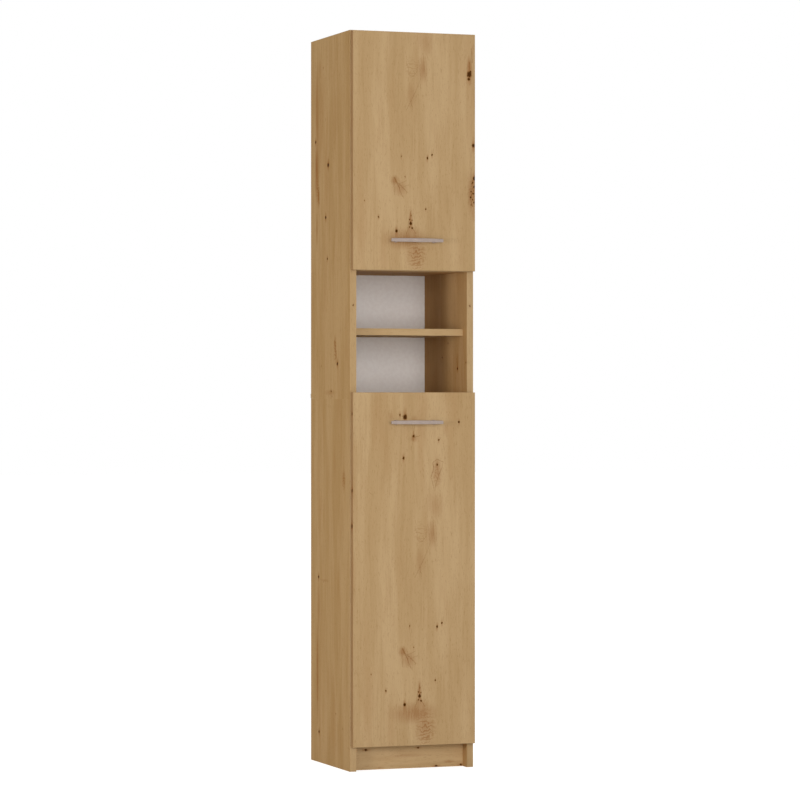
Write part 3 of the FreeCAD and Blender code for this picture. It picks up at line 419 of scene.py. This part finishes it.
def layPrint(tree, position, normal, nodeName, board):
    # (across, seed, along) in millimetres of the print
    place = addNode(tree, "SeparateXYZ", {0: position}).outputs
    x, y, z = place["X"], place["Y"], place["Z"]
    facing = board["facing"]
    axis = [abs(part) for part in facing].index(1)
    low, high = (Vector(corner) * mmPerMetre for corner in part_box(nodeName))
    faceAt = (high if facing[axis] > 0 else low)[axis]
    if board["grain"] == "Z":
        along, across, depth, middle = (z, y, x, (low.y + high.y) / 2) if axis == 0 else (z, x, y, 0.0)
    else:
        along, across, depth, middle = (x, z, y, low.z) if axis == 1 else (x, y, z, (low.y + high.y) / 2)
    # on a long edge the print runs on from the outer face: depth is added to the way out from the middle
    inwards = -facing[axis]
    sunk = addNode(tree, "Math", {0: depth, 1: inwards, 2: -inwards * faceAt}, operation="MULTIPLY_ADD")
    towards = addNode(tree, "VectorMath", {0: normal, 1: facing}, operation="DOT_PRODUCT")
    isInner = addNode(tree, "Math", {0: towards.outputs["Value"], 1: -broadTurn}, operation="LESS_THAN")
    notInner = addNode(tree, "Math", {0: 1.0, 1: isInner.outputs[0]}, operation="SUBTRACT")
    reach = addNode(tree, "Math", {0: sunk.outputs[0], 1: notInner.outputs[0]}, operation="MULTIPLY")
    fromMiddle = addNode(tree, "Math", {0: across, 1: middle}, operation="SUBTRACT")
    outwards = addNode(tree, "Math", {0: fromMiddle.outputs[0]}, operation="SIGN")
    turned = addNode(tree, "Math", {0: reach.outputs[0], 1: outwards.outputs[0], 2: across},
                     operation="MULTIPLY_ADD")
    shifted = addNode(tree, "Math", {0: isInner.outputs[0], 1: innerShift, 2: along},
                      operation="MULTIPLY_ADD")
    printed = addNode(tree, "CombineXYZ", {0: turned.outputs[0], 2: shifted.outputs[0]})
    # the band on an end edge has its grain along that edge
    grainAxis = (0, 0, 1) if board["grain"] == "Z" else (1, 0, 0)
    endwards = addNode(tree, "VectorMath", {0: normal, 1: grainAxis}, operation="DOT_PRODUCT")
    endSize = addNode(tree, "Math", {0: endwards.outputs["Value"]}, operation="ABSOLUTE")
    isEnd = addNode(tree, "Math", {0: endSize.outputs[0], 1: edgeTurn}, operation="GREATER_THAN")
    banded = addNode(tree, "CombineXYZ", {0: depth, 2: across})
    chosen = addNode(tree, "Mix", {0: isEnd.outputs[0], 4: printed.outputs[0], 5: banded.outputs[0]},
                     data_type="VECTOR")
    shiftX, shiftZ = board["shift"]
    moved = addNode(tree, "VectorMath", {0: chosen.outputs[1], 1: (-shiftX, 0.0, -shiftZ)}, operation="ADD")
    scaled = addNode(tree, "VectorMath", {0: moved.outputs[0], "Scale": 1 / board["scale"]},
                     operation="SCALE")
    return addNode(tree, "VectorMath", {0: scaled.outputs[0], 1: (0.0, board["seed"], 0.0)},
                   operation="ADD").outputs[0]


def grainPattern(tree, place, name):
    (width, length), noiseSlice, detail = oakDecor["patterns"][name][:3]
    stretched = addNode(tree, "VectorMath", {0: place, 1: (1 / width, 1.0, 1 / length),
                                             2: (0.0, noiseSlice, 0.0)}, operation="MULTIPLY_ADD")
    return addNode(tree, "TexNoise", {"Vector": stretched.outputs[0], "Scale": 1.0, "Detail": detail,
                                      "Roughness": oakDecor["grainRoughness"]})


def wander(tree, place, name):
    # moves the print about by a slow noise
    reach = oakDecor["patterns"][name][3]
    pattern = grainPattern(tree, place, name)
    centred = addNode(tree, "VectorMath", {0: pattern.outputs["Color"], 1: (-0.5, -0.5, -0.5)},
                      operation="ADD")
    return addNode(tree, "VectorMath", {0: centred.outputs[0], 1: (2 * reach, 0.0, 2 * reach), 2: place},
                   operation="MULTIPLY_ADD").outputs[0]


def layColour(tree, colour, pattern, start, full, share, newColour):
    # lays a colour over the others: none of it where the pattern is at start, its whole share at full
    amount = addNode(tree, "MapRange", {"Value": pattern, "From Min": start, "From Max": full,
                                        "To Max": share}, interpolation_type="SMOOTHSTEP", clamp=False)
    return addNode(tree, "Mix", {0: amount.outputs[0], 6: colour, 7: newColour}, data_type="RGBA").outputs[2]


def fromPoint(tree, place, across, along, seed):
    return addNode(tree, "VectorMath", {0: place, 1: (-across, -seed, -along)}, operation="ADD").outputs[0]


# In these loops no MapRange clamps its result: Cycles works out the clamped ones last, and runs out of room
def addKnots(tree, place, board):
    # the print pushed aside round its knots, how near the knots are, and the smear along the grain
    flowing, nearness, smear = place, 0.0, 0.0
    for across, along, radius, darkness in board["knots"]:
        away = fromPoint(tree, place, across, along, board["seed"])
        shape = (1 / radius, 1.0, 1 / (radius * board["knotLength"]))
        relative = addNode(tree, "VectorMath", {0: away, 1: shape}, operation="MULTIPLY").outputs[0]
        distance = addNode(tree, "VectorMath", {0: relative}, operation="LENGTH").outputs["Value"]
        push = addNode(tree, "MapRange", {"Value": distance, "From Max": oakDecor["knotReach"],
                                          "To Min": -oakDecor["flowShare"], "To Max": 0.0},
                       interpolation_type="SMOOTHSTEP", clamp=False)
        pushed = addNode(tree, "VectorMath", {0: away, "Scale": push.outputs[0]}, operation="SCALE")
        flowing = addNode(tree, "VectorMath", {0: flowing, 1: pushed.outputs[0]}, operation="ADD").outputs[0]
        near = addNode(tree, "MapRange", {"Value": distance, "From Max": oakDecor["knotFade"],
                                          "To Min": darkness, "To Max": 0.0}, clamp=False)
        nearness = addNode(tree, "Math", {0: nearness, 1: near.outputs[0]}, operation="MAXIMUM").outputs[0]
        smearAcross, smearAlong = oakDecor["smearShape"]
        long = addNode(tree, "VectorMath", {0: relative, 1: (smearAcross, 1.0, smearAlong)},
                       operation="MULTIPLY")
        smeared = addNode(tree, "VectorMath", {0: long.outputs[0]}, operation="LENGTH").outputs["Value"]
        around = addNode(tree, "MapRange", {"Value": smeared, "To Min": darkness, "To Max": 0.0},
                         clamp=False)
        smear = addNode(tree, "Math", {0: smear, 1: around.outputs[0]}, operation="MAXIMUM").outputs[0]
    return flowing, nearness, smear


def addZones(tree, place, zones, seed):
    # smudges, some of them painted shade, or feathers: the strongest of them at each place
    strongest = 0.0
    for across, along, halfWidth, halfHeight, strength in zones:
        away = fromPoint(tree, place, across, along, seed)
        relative = addNode(tree, "VectorMath", {0: away, 1: (1 / halfWidth, 1.0, 1 / halfHeight)},
                           operation="MULTIPLY")
        distance = addNode(tree, "VectorMath", {0: relative.outputs[0]}, operation="LENGTH").outputs["Value"]
        amount = addNode(tree, "MapRange", {"Value": distance, "From Min": oakDecor["zoneCore"],
                                            "To Min": strength, "To Max": 0.0},
                         interpolation_type="SMOOTHSTEP", clamp=False)
        strongest = addNode(tree, "Math", {0: strongest, 1: amount.outputs[0]},
                            operation="MAXIMUM").outputs[0]
    return strongest


def addStrokes(tree, place, strokes, seed):
    # fibres that leave the grain: how near each place is to the straight lines between their ends
    strongest = 0.0
    for startAcross, startAlong, endAcross, endAlong, halfWidth, strength in strokes:
        line = Vector((endAcross - startAcross, 0.0, endAlong - startAlong))
        away = fromPoint(tree, place, startAcross, startAlong, seed)
        along = addNode(tree, "VectorMath", {0: away, 1: line / line.length_squared}, operation="DOT_PRODUCT")
        share = addNode(tree, "Clamp", {"Value": along.outputs["Value"]})
        foot = addNode(tree, "VectorMath", {0: line, "Scale": share.outputs[0]}, operation="SCALE")
        distance = addNode(tree, "VectorMath", {0: away, 1: foot.outputs[0]}, operation="DISTANCE")
        amount = addNode(tree, "MapRange", {"Value": distance.outputs["Value"], "From Max": halfWidth,
                                            "To Min": strength, "To Max": 0.0},
                         interpolation_type="SMOOTHSTEP", clamp=False)
        strongest = addNode(tree, "Math", {0: strongest, 1: amount.outputs[0]},
                            operation="MAXIMUM").outputs[0]
    return strongest


def growthRings(tree, place, board):
    # rings at equal distances from the trunk's heart, which a flat cut shows as flames
    away = fromPoint(tree, place, *board["heart"], 0.0)
    leaning = addNode(tree, "VectorMath", {0: away, 1: (1.0, 0.0, oakDecor["sliceLean"])},
                      operation="MULTIPLY")
    radius = addNode(tree, "VectorMath", {0: leaning.outputs[0]}, operation="LENGTH").outputs["Value"]
    along = addNode(tree, "Math", {0: radius, 1: 1 / oakDecor["ringSpacing"], 2: board["seed"]},
                    operation="MULTIPLY_ADD")
    return addNode(tree, "TexNoise", {"W": along.outputs[0], "Scale": 1.0, "Detail": 1.0},
                   noise_dimensions="1D").outputs[0]


def printOak(tree, place, board):
    look = oakDecor
    frayed = wander(tree, place, "fray")
    flowing, nearness, smear = addKnots(tree, frayed, board)
    waved = wander(tree, flowing, "wave")
    rings = growthRings(tree, wander(tree, waved, "rings"), board)
    bands, flames, warmth, streaks, fibres, pores = (
        grainPattern(tree, waved, name).outputs[0]
        for name in ("bands", "flames", "warmth", "streaks", "fibres", "pores"))

    colour = layColour(tree, look["pale"], bands, *look["bandLevels"], look["honey"])
    colour = layColour(tree, colour, warmth, *look["warmLevels"], look["warm"])
    flameStart, flameFull, flameShare = look["flameLevels"]
    ringShare = addNode(tree, "MapRange", {"Value": flames, "From Min": flameStart, "From Max": flameFull,
                                           "To Max": flameShare}).outputs[0]
    colour = layColour(tree, colour, rings, *look["ringLevels"], ringShare, look["deep"])
    colour = layColour(tree, colour, streaks, *look["streakLevels"], look["deep"])
    colour = layColour(tree, colour, fibres, *look["fibreLevels"], look["deep"])
    colour = layColour(tree, colour, pores, *look["poreLevels"], look["poreColour"])
    # smudges, with painted shade round the upper handle among them
    if board["smudgesAndShade"]:
        smudgesAndShade = addZones(tree, frayed, board["smudgesAndShade"], board["seed"])
        colour = layColour(tree, colour, fibres, *look["smudgeAndShadeLevels"], smudgesAndShade, look["smudgeAndShadeColour"])
    if board["feathers"]:
        # fibres that ripple; a wave texture turns its phase 20 times for each unit of its scale
        feathers = addZones(tree, frayed, board["feathers"], board["seed"])
        ripples = addNode(tree, "TexWave", {"Vector": wander(tree, place, "ripples"), "Detail": 2.0,
                                            "Scale": math.tau / 20 / look["rippleLength"],
                                            "Distortion": look["rippleBend"],
                                            "Detail Scale": look["rippleFineness"]},
                          wave_type="BANDS", bands_direction="Z").outputs["Fac"]
        colour = layColour(tree, colour, ripples, *look["rippleLevels"], feathers, look["smudgeAndShadeColour"])
    if board["strokes"]:
        strokes = addStrokes(tree, frayed, board["strokes"], board["seed"])
        colour = layColour(tree, colour, strokes, *look["strokeLevels"], look["knotRim"])
    if board["knots"]:
        colour = layColour(tree, colour, smear, *look["smearLevels"], look["smudgeAndShadeColour"])
        colour = layColour(tree, colour, nearness, *look["knotRimLevels"], look["knotRim"])
        colour = layColour(tree, colour, nearness, *look["knotLevels"], look["knotColour"])
    return colour


def toneFaces(tree, colour, normal, board):
    # the broad faces and the edges each get their own tone
    towards = addNode(tree, "VectorMath", {0: normal, 1: board["facing"]}, operation="DOT_PRODUCT")
    turn = addNode(tree, "Math", {0: towards.outputs["Value"]}, operation="ABSOLUTE")
    isBroad = addNode(tree, "Math", {0: turn.outputs[0], 1: broadTurn}, operation="GREATER_THAN").outputs[0]
    tones = {"Color": colour}
    for name in ("Hue", "Value", "Saturation"):
        tones[name] = addNode(tree, "MapRange", {"Value": isBroad, "To Min": board["edge" + name],
                                                 "To Max": board[name.lower()]}).outputs[0]
    return addNode(tree, "HueSaturation", tones).outputs[0]


def pressGrain(tree, place):
    # the press plate leaves shallow pores in the melamine, which don't follow the print
    fibres = grainPattern(tree, place, "pressedFibres").outputs[0]
    pores = grainPattern(tree, place, "pressedPores").outputs[0]
    return addNode(tree, "Math", {0: fibres, 1: pores}, operation="SUBTRACT").outputs[0]


def pressChips(tree, position):
    # each chip has its own tone, and binder shows between them
    look = particleboard
    chips = addNode(tree, "TexVoronoi", {"Vector": position, "Scale": 1 / look["chipSize"]})
    tone = addNode(tree, "SeparateColor", {0: chips.outputs["Color"]}).outputs[0]
    colour = layColour(tree, look["chipDark"], tone, 0.0, 1.0, 1.0, look["chipLight"])
    colour = layColour(tree, colour, chips.outputs["Distance"], *look["binderLevels"], look["binder"])
    return colour, chips.outputs["Distance"]


def makeBoard(nodeName, board):
    material, tree = newMaterial("knotty oak melamine, " + nodeName.replace("_", " "))
    surface = addNode(tree, "TexCoord").outputs
    position = addNode(tree, "VectorMath", {0: surface["Object"], "Scale": mmPerMetre},
                       operation="SCALE").outputs[0]
    cut = findCutFaces(tree, position, surface["Normal"], nodeName, board)
    place = layPrint(tree, position, surface["Normal"], nodeName, board)
    printColour = toneFaces(tree, printOak(tree, place, board), surface["Normal"], board)
    chipColour, chipHeight = pressChips(tree, position)
    colour = addNode(tree, "Mix", {0: cut, 6: printColour, 7: chipColour}, data_type="RGBA").outputs[2]
    printBump = addNode(tree, "Bump", {"Height": pressGrain(tree, place),
                                       "Strength": oakDecor["grooveStrength"],
                                       "Distance": oakDecor["grooveDepth"]})
    chipBump = addNode(tree, "Bump", {"Height": chipHeight, "Strength": cut, "Normal": printBump.outputs[0],
                                      "Distance": particleboard["bumpDepth"]})
    roughness = addNode(tree, "MapRange", {"Value": cut, "To Min": oakDecor["roughness"],
                                           "To Max": particleboard["roughness"]})
    finishMaterial(tree, {"Base Color": colour, "Normal": chipBump.outputs[0],
                          "Roughness": roughness.outputs[0], "Specular IOR Level": oakDecor["specular"]})
    return material


def dress(nodeName, material):
    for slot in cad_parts[nodeName].material_slots:
        slot.material = material


for nodeName, board in boards.items():
    dress(nodeName, makeBoard(nodeName, board))
print("boards printed:", len(boards))


# Metals. markSize is how far apart the marks in the skin lie along x, y and z, in millimetres.
metals = {
    # satin nickel on die-cast zinc: a warm grey with soft lengthwise brushing
    "satin nickel": {"colour": "#B3A399", "metallic": 0.75, "roughness": 0.68,
                     "markSize": (4.17, 0.625, 0.625), "bump": 0.05,
                     "nodes": ("upper_handle", "lower_handle")},
    # nickel on pressed steel: brighter, with faint rolling marks
    "nickel-plated pressed steel": {
        "colour": "#B4B1AB", "metallic": 1.0, "roughness": 0.36, "markSize": (8.33, 8.33, 0.96), "bump": 0.03,
        "nodes": ("hinge_arms", "hinge_mounting_plates", "upper_hinge_cups", "lower_hinge_cups",
                  "upper_outer_links", "lower_outer_links", "upper_inner_links", "lower_inner_links",
                  "shelf_pins")},
    # bright zinc on steel: cool and a little cloudy
    "bright zinc-plated steel": {
        "colour": "#A9ADB2", "metallic": 1.0, "roughness": 0.3, "markSize": (2.78, 2.78, 2.78), "bump": 0.04,
        "nodes": ("cam_bolts", "back_nails", "wall_bracket", "wall_bracket_screws", "corner_brackets",
                  "corner_bracket_screws", "hinge_arm_pins", "hinge_plate_screws", "hinge_adjusting_screws",
                  "upper_hinge_cup_pins", "lower_hinge_cup_pins", "upper_hinge_cup_screws",
                  "lower_hinge_cup_screws", "upper_handle_screws", "lower_handle_screws")},
    # raw die-cast zinc: dull grey with a grainy skin
    "die-cast zinc": {"colour": "#939392", "metallic": 1.0, "roughness": 0.45, "markSize": (0.5, 0.5, 0.5),
                      "bump": 0.1, "nodes": ("cam_locks",)},
}
metalSkin = {
    "cloudSize": 16.7,
    "cloudShade": (0.93, 1.05),          # how much darker and lighter the clouds are
    "roughnessSpread": (-0.06, 0.08),
    "bumpDepth": 0.0002,
}
noiseRange = (0.3, 0.7)                  # most of a noise's heights lie between these


def makeMetal(name, metal):
    material, tree = newMaterial(name)
    position = addNode(tree, "TexCoord").outputs["Object"]
    marksPerMetre = [mmPerMetre / size for size in metal["markSize"]]
    stretched = addNode(tree, "VectorMath", {0: position, 1: marksPerMetre}, operation="MULTIPLY")
    marks = addNode(tree, "TexNoise", {"Vector": stretched.outputs[0], "Scale": 1.0, "Detail": 4.0})
    clouds = addNode(tree, "TexNoise", {"Vector": position, "Detail": 2.0,
                                        "Scale": mmPerMetre / metalSkin["cloudSize"]})
    low, high = noiseRange
    smoother, rougher = (metal["roughness"] + spread for spread in metalSkin["roughnessSpread"])
    darker, lighter = metalSkin["cloudShade"]
    roughness = addNode(tree, "MapRange", {"Value": marks.outputs[0], "From Min": low, "From Max": high,
                                           "To Min": smoother, "To Max": rougher})
    shade = addNode(tree, "MapRange", {"Value": clouds.outputs[0], "From Min": low, "From Max": high,
                                       "To Min": darker, "To Max": lighter})
    colour = addNode(tree, "HueSaturation", {"Value": shade.outputs[0], "Color": metal["colour"]})
    bump = addNode(tree, "Bump", {"Height": marks.outputs[0], "Strength": metal["bump"],
                                  "Distance": metalSkin["bumpDepth"]})
    finishMaterial(tree, {"Base Color": colour.outputs[0], "Roughness": roughness.outputs[0],
                          "Normal": bump.outputs[0], "Metallic": metal["metallic"]})
    return material


for name, metal in metals.items():
    material = makeMetal(name, metal)
    for nodeName in metal["nodes"]:
        dress(nodeName, material)
print("metals dressed:", len(metals))


# Hardboard: hot-pressed wood fibre, dark brown and leathery behind, with a grey-white lacquer in front
hardboard = {
    "lacquer": "#EDE9E5",
    "lacquerDarker": "#E9E4E0",
    "fibre": "#8D6B49",
    "fibreDarker": "#6C4E33",
    "mottleSize": 9.0,
    "mottleLevels": (0.35, 0.65, 1.0),
    "fleckSize": 1.6,         # coarser than the real fibres, so that they show
    "fleckLevels": (0.38, 0.66, 1.0),
    "fleckBend": 1.2,
    "lacquerRoughness": 0.5,
    "fibreRoughness": 0.62,
    "specular": 0.3,
    "bumpStrength": 0.4,
    "bumpDepth": 0.0001,
    "nodes": ("upper_back_panel", "lower_back_panel"),
}


def makeHardboard():
    look = hardboard
    material, tree = newMaterial("hardboard, lacquered in front")
    surface = addNode(tree, "TexCoord").outputs
    position = addNode(tree, "VectorMath", {0: surface["Object"], "Scale": mmPerMetre},
                       operation="SCALE").outputs[0]
    mottle = addNode(tree, "TexNoise", {"Vector": position, "Scale": 1 / look["mottleSize"],
                                        "Detail": 4.0}).outputs[0]
    flecks = addNode(tree, "TexNoise", {"Vector": position, "Scale": 1 / look["fleckSize"], "Detail": 5.0,
                                        "Distortion": look["fleckBend"]}).outputs[0]
    front = layColour(tree, look["lacquer"], mottle, *look["mottleLevels"], look["lacquerDarker"])
    rear = layColour(tree, look["fibre"], flecks, *look["fleckLevels"], look["fibreDarker"])
    forwards = addNode(tree, "VectorMath", {0: surface["Normal"], 1: (0, -1, 0)}, operation="DOT_PRODUCT")
    isFront = addNode(tree, "Math", {0: forwards.outputs["Value"], 1: broadTurn},
                      operation="GREATER_THAN").outputs[0]
    colour = addNode(tree, "Mix", {0: isFront, 6: rear, 7: front}, data_type="RGBA").outputs[2]
    roughness = addNode(tree, "MapRange", {"Value": isFront, "To Min": look["fibreRoughness"],
                                           "To Max": look["lacquerRoughness"]})
    bump = addNode(tree, "Bump", {"Height": flecks, "Strength": look["bumpStrength"],
                                  "Distance": look["bumpDepth"]})
    finishMaterial(tree, {"Base Color": colour, "Roughness": roughness.outputs[0],
                          "Normal": bump.outputs[0], "Specular IOR Level": look["specular"]})
    return material


material = makeHardboard()
for nodeName in hardboard["nodes"]:
    dress(nodeName, material)
print("hardboard dressed")


# Small parts of one colour, with a faint mottle
plains = {
    # extruded PVC: smooth, white, a little glossy
    "extruded white PVC": {"colour": "#E2E1DE", "darker": "#DBDAD6", "mottleSize": 11.0, "roughness": 0.35,
                           "bump": 0.02, "nodes": ("back_joint_strip",)},
    # turned beech: pale pink-brown with short flecks
    "turned beech": {"colour": "#C8A47C", "darker": "#B48E66", "mottleSize": 2.0, "roughness": 0.6,
                     "bump": 0.1, "nodes": ("panel_dowels", "side_seam_dowels")},
    # clear silicone: milky where it is thick
    "milky silicone": {"colour": "#DAD9D4", "darker": "#D0CFCA", "mottleSize": 6.0, "roughness": 0.3,
                       "bump": 0.02, "nodes": ("upper_door_bumpers", "lower_door_bumpers")},
}
plainSkin = {"mottleLevels": (0.35, 0.65, 1.0), "roughnessSpread": 0.05, "bumpDepth": 0.0002}


def makePlain(name, plain):
    material, tree = newMaterial(name)
    position = addNode(tree, "TexCoord").outputs["Object"]
    mottle = addNode(tree, "TexNoise", {"Vector": position, "Detail": 4.0,
                                        "Scale": mmPerMetre / plain["mottleSize"]}).outputs[0]
    colour = layColour(tree, plain["darker"], mottle, *plainSkin["mottleLevels"], plain["colour"])
    low, high = noiseRange
    spread = plainSkin["roughnessSpread"]
    roughness = addNode(tree, "MapRange", {"Value": mottle, "From Min": low, "From Max": high,
                                           "To Min": plain["roughness"] - spread,
                                           "To Max": plain["roughness"] + spread})
    bump = addNode(tree, "Bump", {"Height": mottle, "Strength": plain["bump"],
                                  "Distance": plainSkin["bumpDepth"]})
    finishMaterial(tree, {"Base Color": colour, "Roughness": roughness.outputs[0], "Normal": bump.outputs[0]})
    return material


for name, plain in plains.items():
    material = makePlain(name, plain)
    for nodeName in plain["nodes"]:
        dress(nodeName, material)
print("small parts dressed:", len(plains))


# Cross-recessed screws stand in for the plain CAD ones. Lengths are millimetres. The shank goes down from 0,
# and the head rises from there: straight sides to half its height, then in to its crown.
screwKinds = {
    "handle": {"shankRadius": 2.0, "shankLength": 27.7, "headRadius": 4.4, "crownRadius": 3.2,
               "headHeight": 1.8, "crossReach": 2.3, "crossWidth": 0.9, "crossDepth": 1.5},
    "plate": {"shankRadius": 2.5, "shankLength": 13.5, "headRadius": 4.5, "crownRadius": 3.2,
              "headHeight": 1.5, "crossReach": 2.3, "crossWidth": 0.9, "crossDepth": 1.3},
    "adjusting": {"shankRadius": 2.0, "shankLength": 18.4, "headRadius": 3.2, "crownRadius": 2.9,
                  "headHeight": 2.0, "crossReach": 2.2, "crossWidth": 0.9, "crossDepth": 1.6},
    "wood": {"shankRadius": 1.75, "shankLength": 13.0, "headRadius": 3.5, "crownRadius": 2.4,
             "headHeight": 1.0, "crossReach": 1.8, "crossWidth": 0.7, "crossDepth": 0.9},
}
screwFinish = {
    "sides": 32,
    "crownRounding": 0.25,
    "roundingSteps": 3,
    "crossTaper": 0.55,          # the cross's width at its bottom for that at its top
    "smoothDegrees": 35.0,
    "turnBetween": 37.0,         # degrees: no two crosses stand alike
}
flatTurn = 0.9                   # a face whose normal leans this far up or down lies flat
hingeHeights = {"lower": (148.0, 800.0), "upper": (1267.0, 1648.0)}
handleHeights = {"lower": 819.5, "upper": 1247.5}
allHinges = hingeHeights["lower"] + hingeHeights["upper"]
bracketCorners = [(side, y) for side in (-1, 1) for y in (-2.0, 44.0)]
# a screw is the place of its head and the way the head looks
screwPieces = {
    "hinge_plate_screws": {"kind": "plate", "body": "carcass",
                           "screws": [((136.5, -85.0, z + side), (-1, 0, 0))
                                      for z in allHinges for side in (-16.0, 16.0)]},
    "hinge_adjusting_screws": {"kind": "adjusting", "body": "carcass",
                               "screws": [((116.6, y, z), (-1, 0, 0))
                                          for z in allHinges for y in (-90.0, -68.0)]},
    "corner_bracket_screws": {"kind": "wood", "body": "carcass",
                              "screws": [((side * 127.0, y, 872.5), (0, 0, -1)) for side, y in bracketCorners]
                                        + [((side * 137.5, y, 862.0), (-side, 0, 0))
                                           for side, y in bracketCorners]},
    "wall_bracket_screws": {"kind": "wood", "body": "carcass",
                            "screws": [((x, 147.0, 1722.0), (0, 0, -1)) for x in (-7.5, 7.5)]},
}
for door in ("lower", "upper"):
    screwPieces[door + "_handle_screws"] = {
        "kind": "handle", "body": door + "_door",
        "screws": [((x, -124.0, handleHeights[door]), (0, 1, 0)) for x in (-48.0, 48.0)]}
    screwPieces[door + "_hinge_cup_screws"] = {
        "kind": "wood", "body": door + "_door",
        "screws": [((126.0, -123.0, z + side), (0, 1, 0))
                   for z in hingeHeights[door] for side in (-24.0, 24.0)]}


def selectFaces(piece, isWanted):
    # leaves the piece in edit mode with the wanted faces selected
    bpy.ops.object.mode_set(mode="EDIT")
    bpy.ops.mesh.select_mode(type="FACE")
    bpy.ops.mesh.select_all(action="DESELECT")
    bpy.ops.object.mode_set(mode="OBJECT")
    for face in piece.data.polygons:
        face.select = isWanted(face)
    bpy.ops.object.mode_set(mode="EDIT")


def cutArm(screw, look, width, depth):
    # one arm of the cross: a wedge whose lower half sinks into the head
    deselectAll()
    bpy.ops.mesh.primitive_cube_add(size=1.0, location=(0, 0, look["headHeight"] / mmPerMetre))
    wedge = bpy.context.object
    wedge.scale = [length / mmPerMetre for length in (width, depth, 2 * look["crossDepth"])]
    bpy.ops.object.transform_apply(location=True, rotation=False, scale=True)
    selectFaces(wedge, lambda face: face.normal.z < -flatTurn)
    taper = screwFinish["crossTaper"]
    bpy.ops.transform.resize(value=(taper, taper, 1), center_override=(0, 0, 0))
    bpy.ops.object.mode_set(mode="OBJECT")
    cut = screw.modifiers.new("cross", "BOOLEAN")
    cut.operation = "DIFFERENCE"
    cut.solver = "EXACT"
    cut.object = wedge
    deselectAll()
    bpy.context.view_layer.objects.active = screw
    bpy.ops.object.modifier_apply(modifier=cut.name)
    bpy.data.objects.remove(wedge, do_unlink=True)


def makeScrew(look):
    deselectAll()
    shankLength = look["shankLength"] / mmPerMetre
    bpy.ops.mesh.primitive_cylinder_add(vertices=screwFinish["sides"], depth=shankLength,
                                        radius=look["shankRadius"] / mmPerMetre,
                                        location=(0, 0, -shankLength / 2))
    screw = bpy.context.object
    bpy.ops.object.transform_apply(location=True, rotation=False, scale=False)
    selectFaces(screw, lambda face: face.normal.z > flatTurn)
    rise = look["headHeight"] / 2 / mmPerMetre
    for step, spread in ((0.0, look["headRadius"] / look["shankRadius"]), (rise, 1.0),
                         (rise, look["crownRadius"] / look["headRadius"])):
        bpy.ops.mesh.extrude_region_move(TRANSFORM_OT_translate={"value": (0, 0, step)})
        bpy.ops.transform.resize(value=(spread, spread, 1), center_override=(0, 0, 0))
    bpy.ops.object.mode_set(mode="OBJECT")
    rounding = screw.modifiers.new("crown", "BEVEL")
    rounding.width = screwFinish["crownRounding"] / mmPerMetre
    rounding.segments = screwFinish["roundingSteps"]
    rounding.limit_method = "ANGLE"
    bpy.ops.object.modifier_apply(modifier=rounding.name)
    cutArm(screw, look, 2 * look["crossReach"], look["crossWidth"])
    cutArm(screw, look, look["crossWidth"], 2 * look["crossReach"])
    deselectAll()
    screw.select_set(True)
    bpy.ops.object.shade_smooth_by_angle(angle=math.radians(screwFinish["smoothDegrees"]))
    return screw


patterns = {kind: makeScrew(look) for kind, look in screwKinds.items()}
zinc = bpy.data.materials["bright zinc-plated steel"]
for nodeName, group in screwPieces.items():
    copies = []
    for count, (place, headLooks) in enumerate(group["screws"]):
        copied = patterns[group["kind"]].copy()
        copied.data = copied.data.copy()
        bpy.context.collection.objects.link(copied)
        crossTurn = Quaternion((0, 0, 1), math.radians(count * screwFinish["turnBetween"]))
        copied.rotation_euler = (Vector(headLooks).to_track_quat("Z", "Y") @ crossTurn).to_euler()
        copied.location = Vector(place) / mmPerMetre
        copies.append(copied)
    deselectAll()
    for copied in copies:
        copied.select_set(True)
    bpy.context.view_layer.objects.active = copies[0]
    bpy.ops.object.join()
    bpy.ops.object.transform_apply(location=True, rotation=True, scale=True)
    piece = bpy.context.object
    piece.name = nodeName + "_cross_recessed"
    piece.data.materials.clear()
    piece.data.materials.append(zinc)
    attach(piece, group["body"])
    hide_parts(nodeName)
for pattern in patterns.values():
    bpy.data.objects.remove(pattern, do_unlink=True)
print("screws modelled:", len(screwPieces))
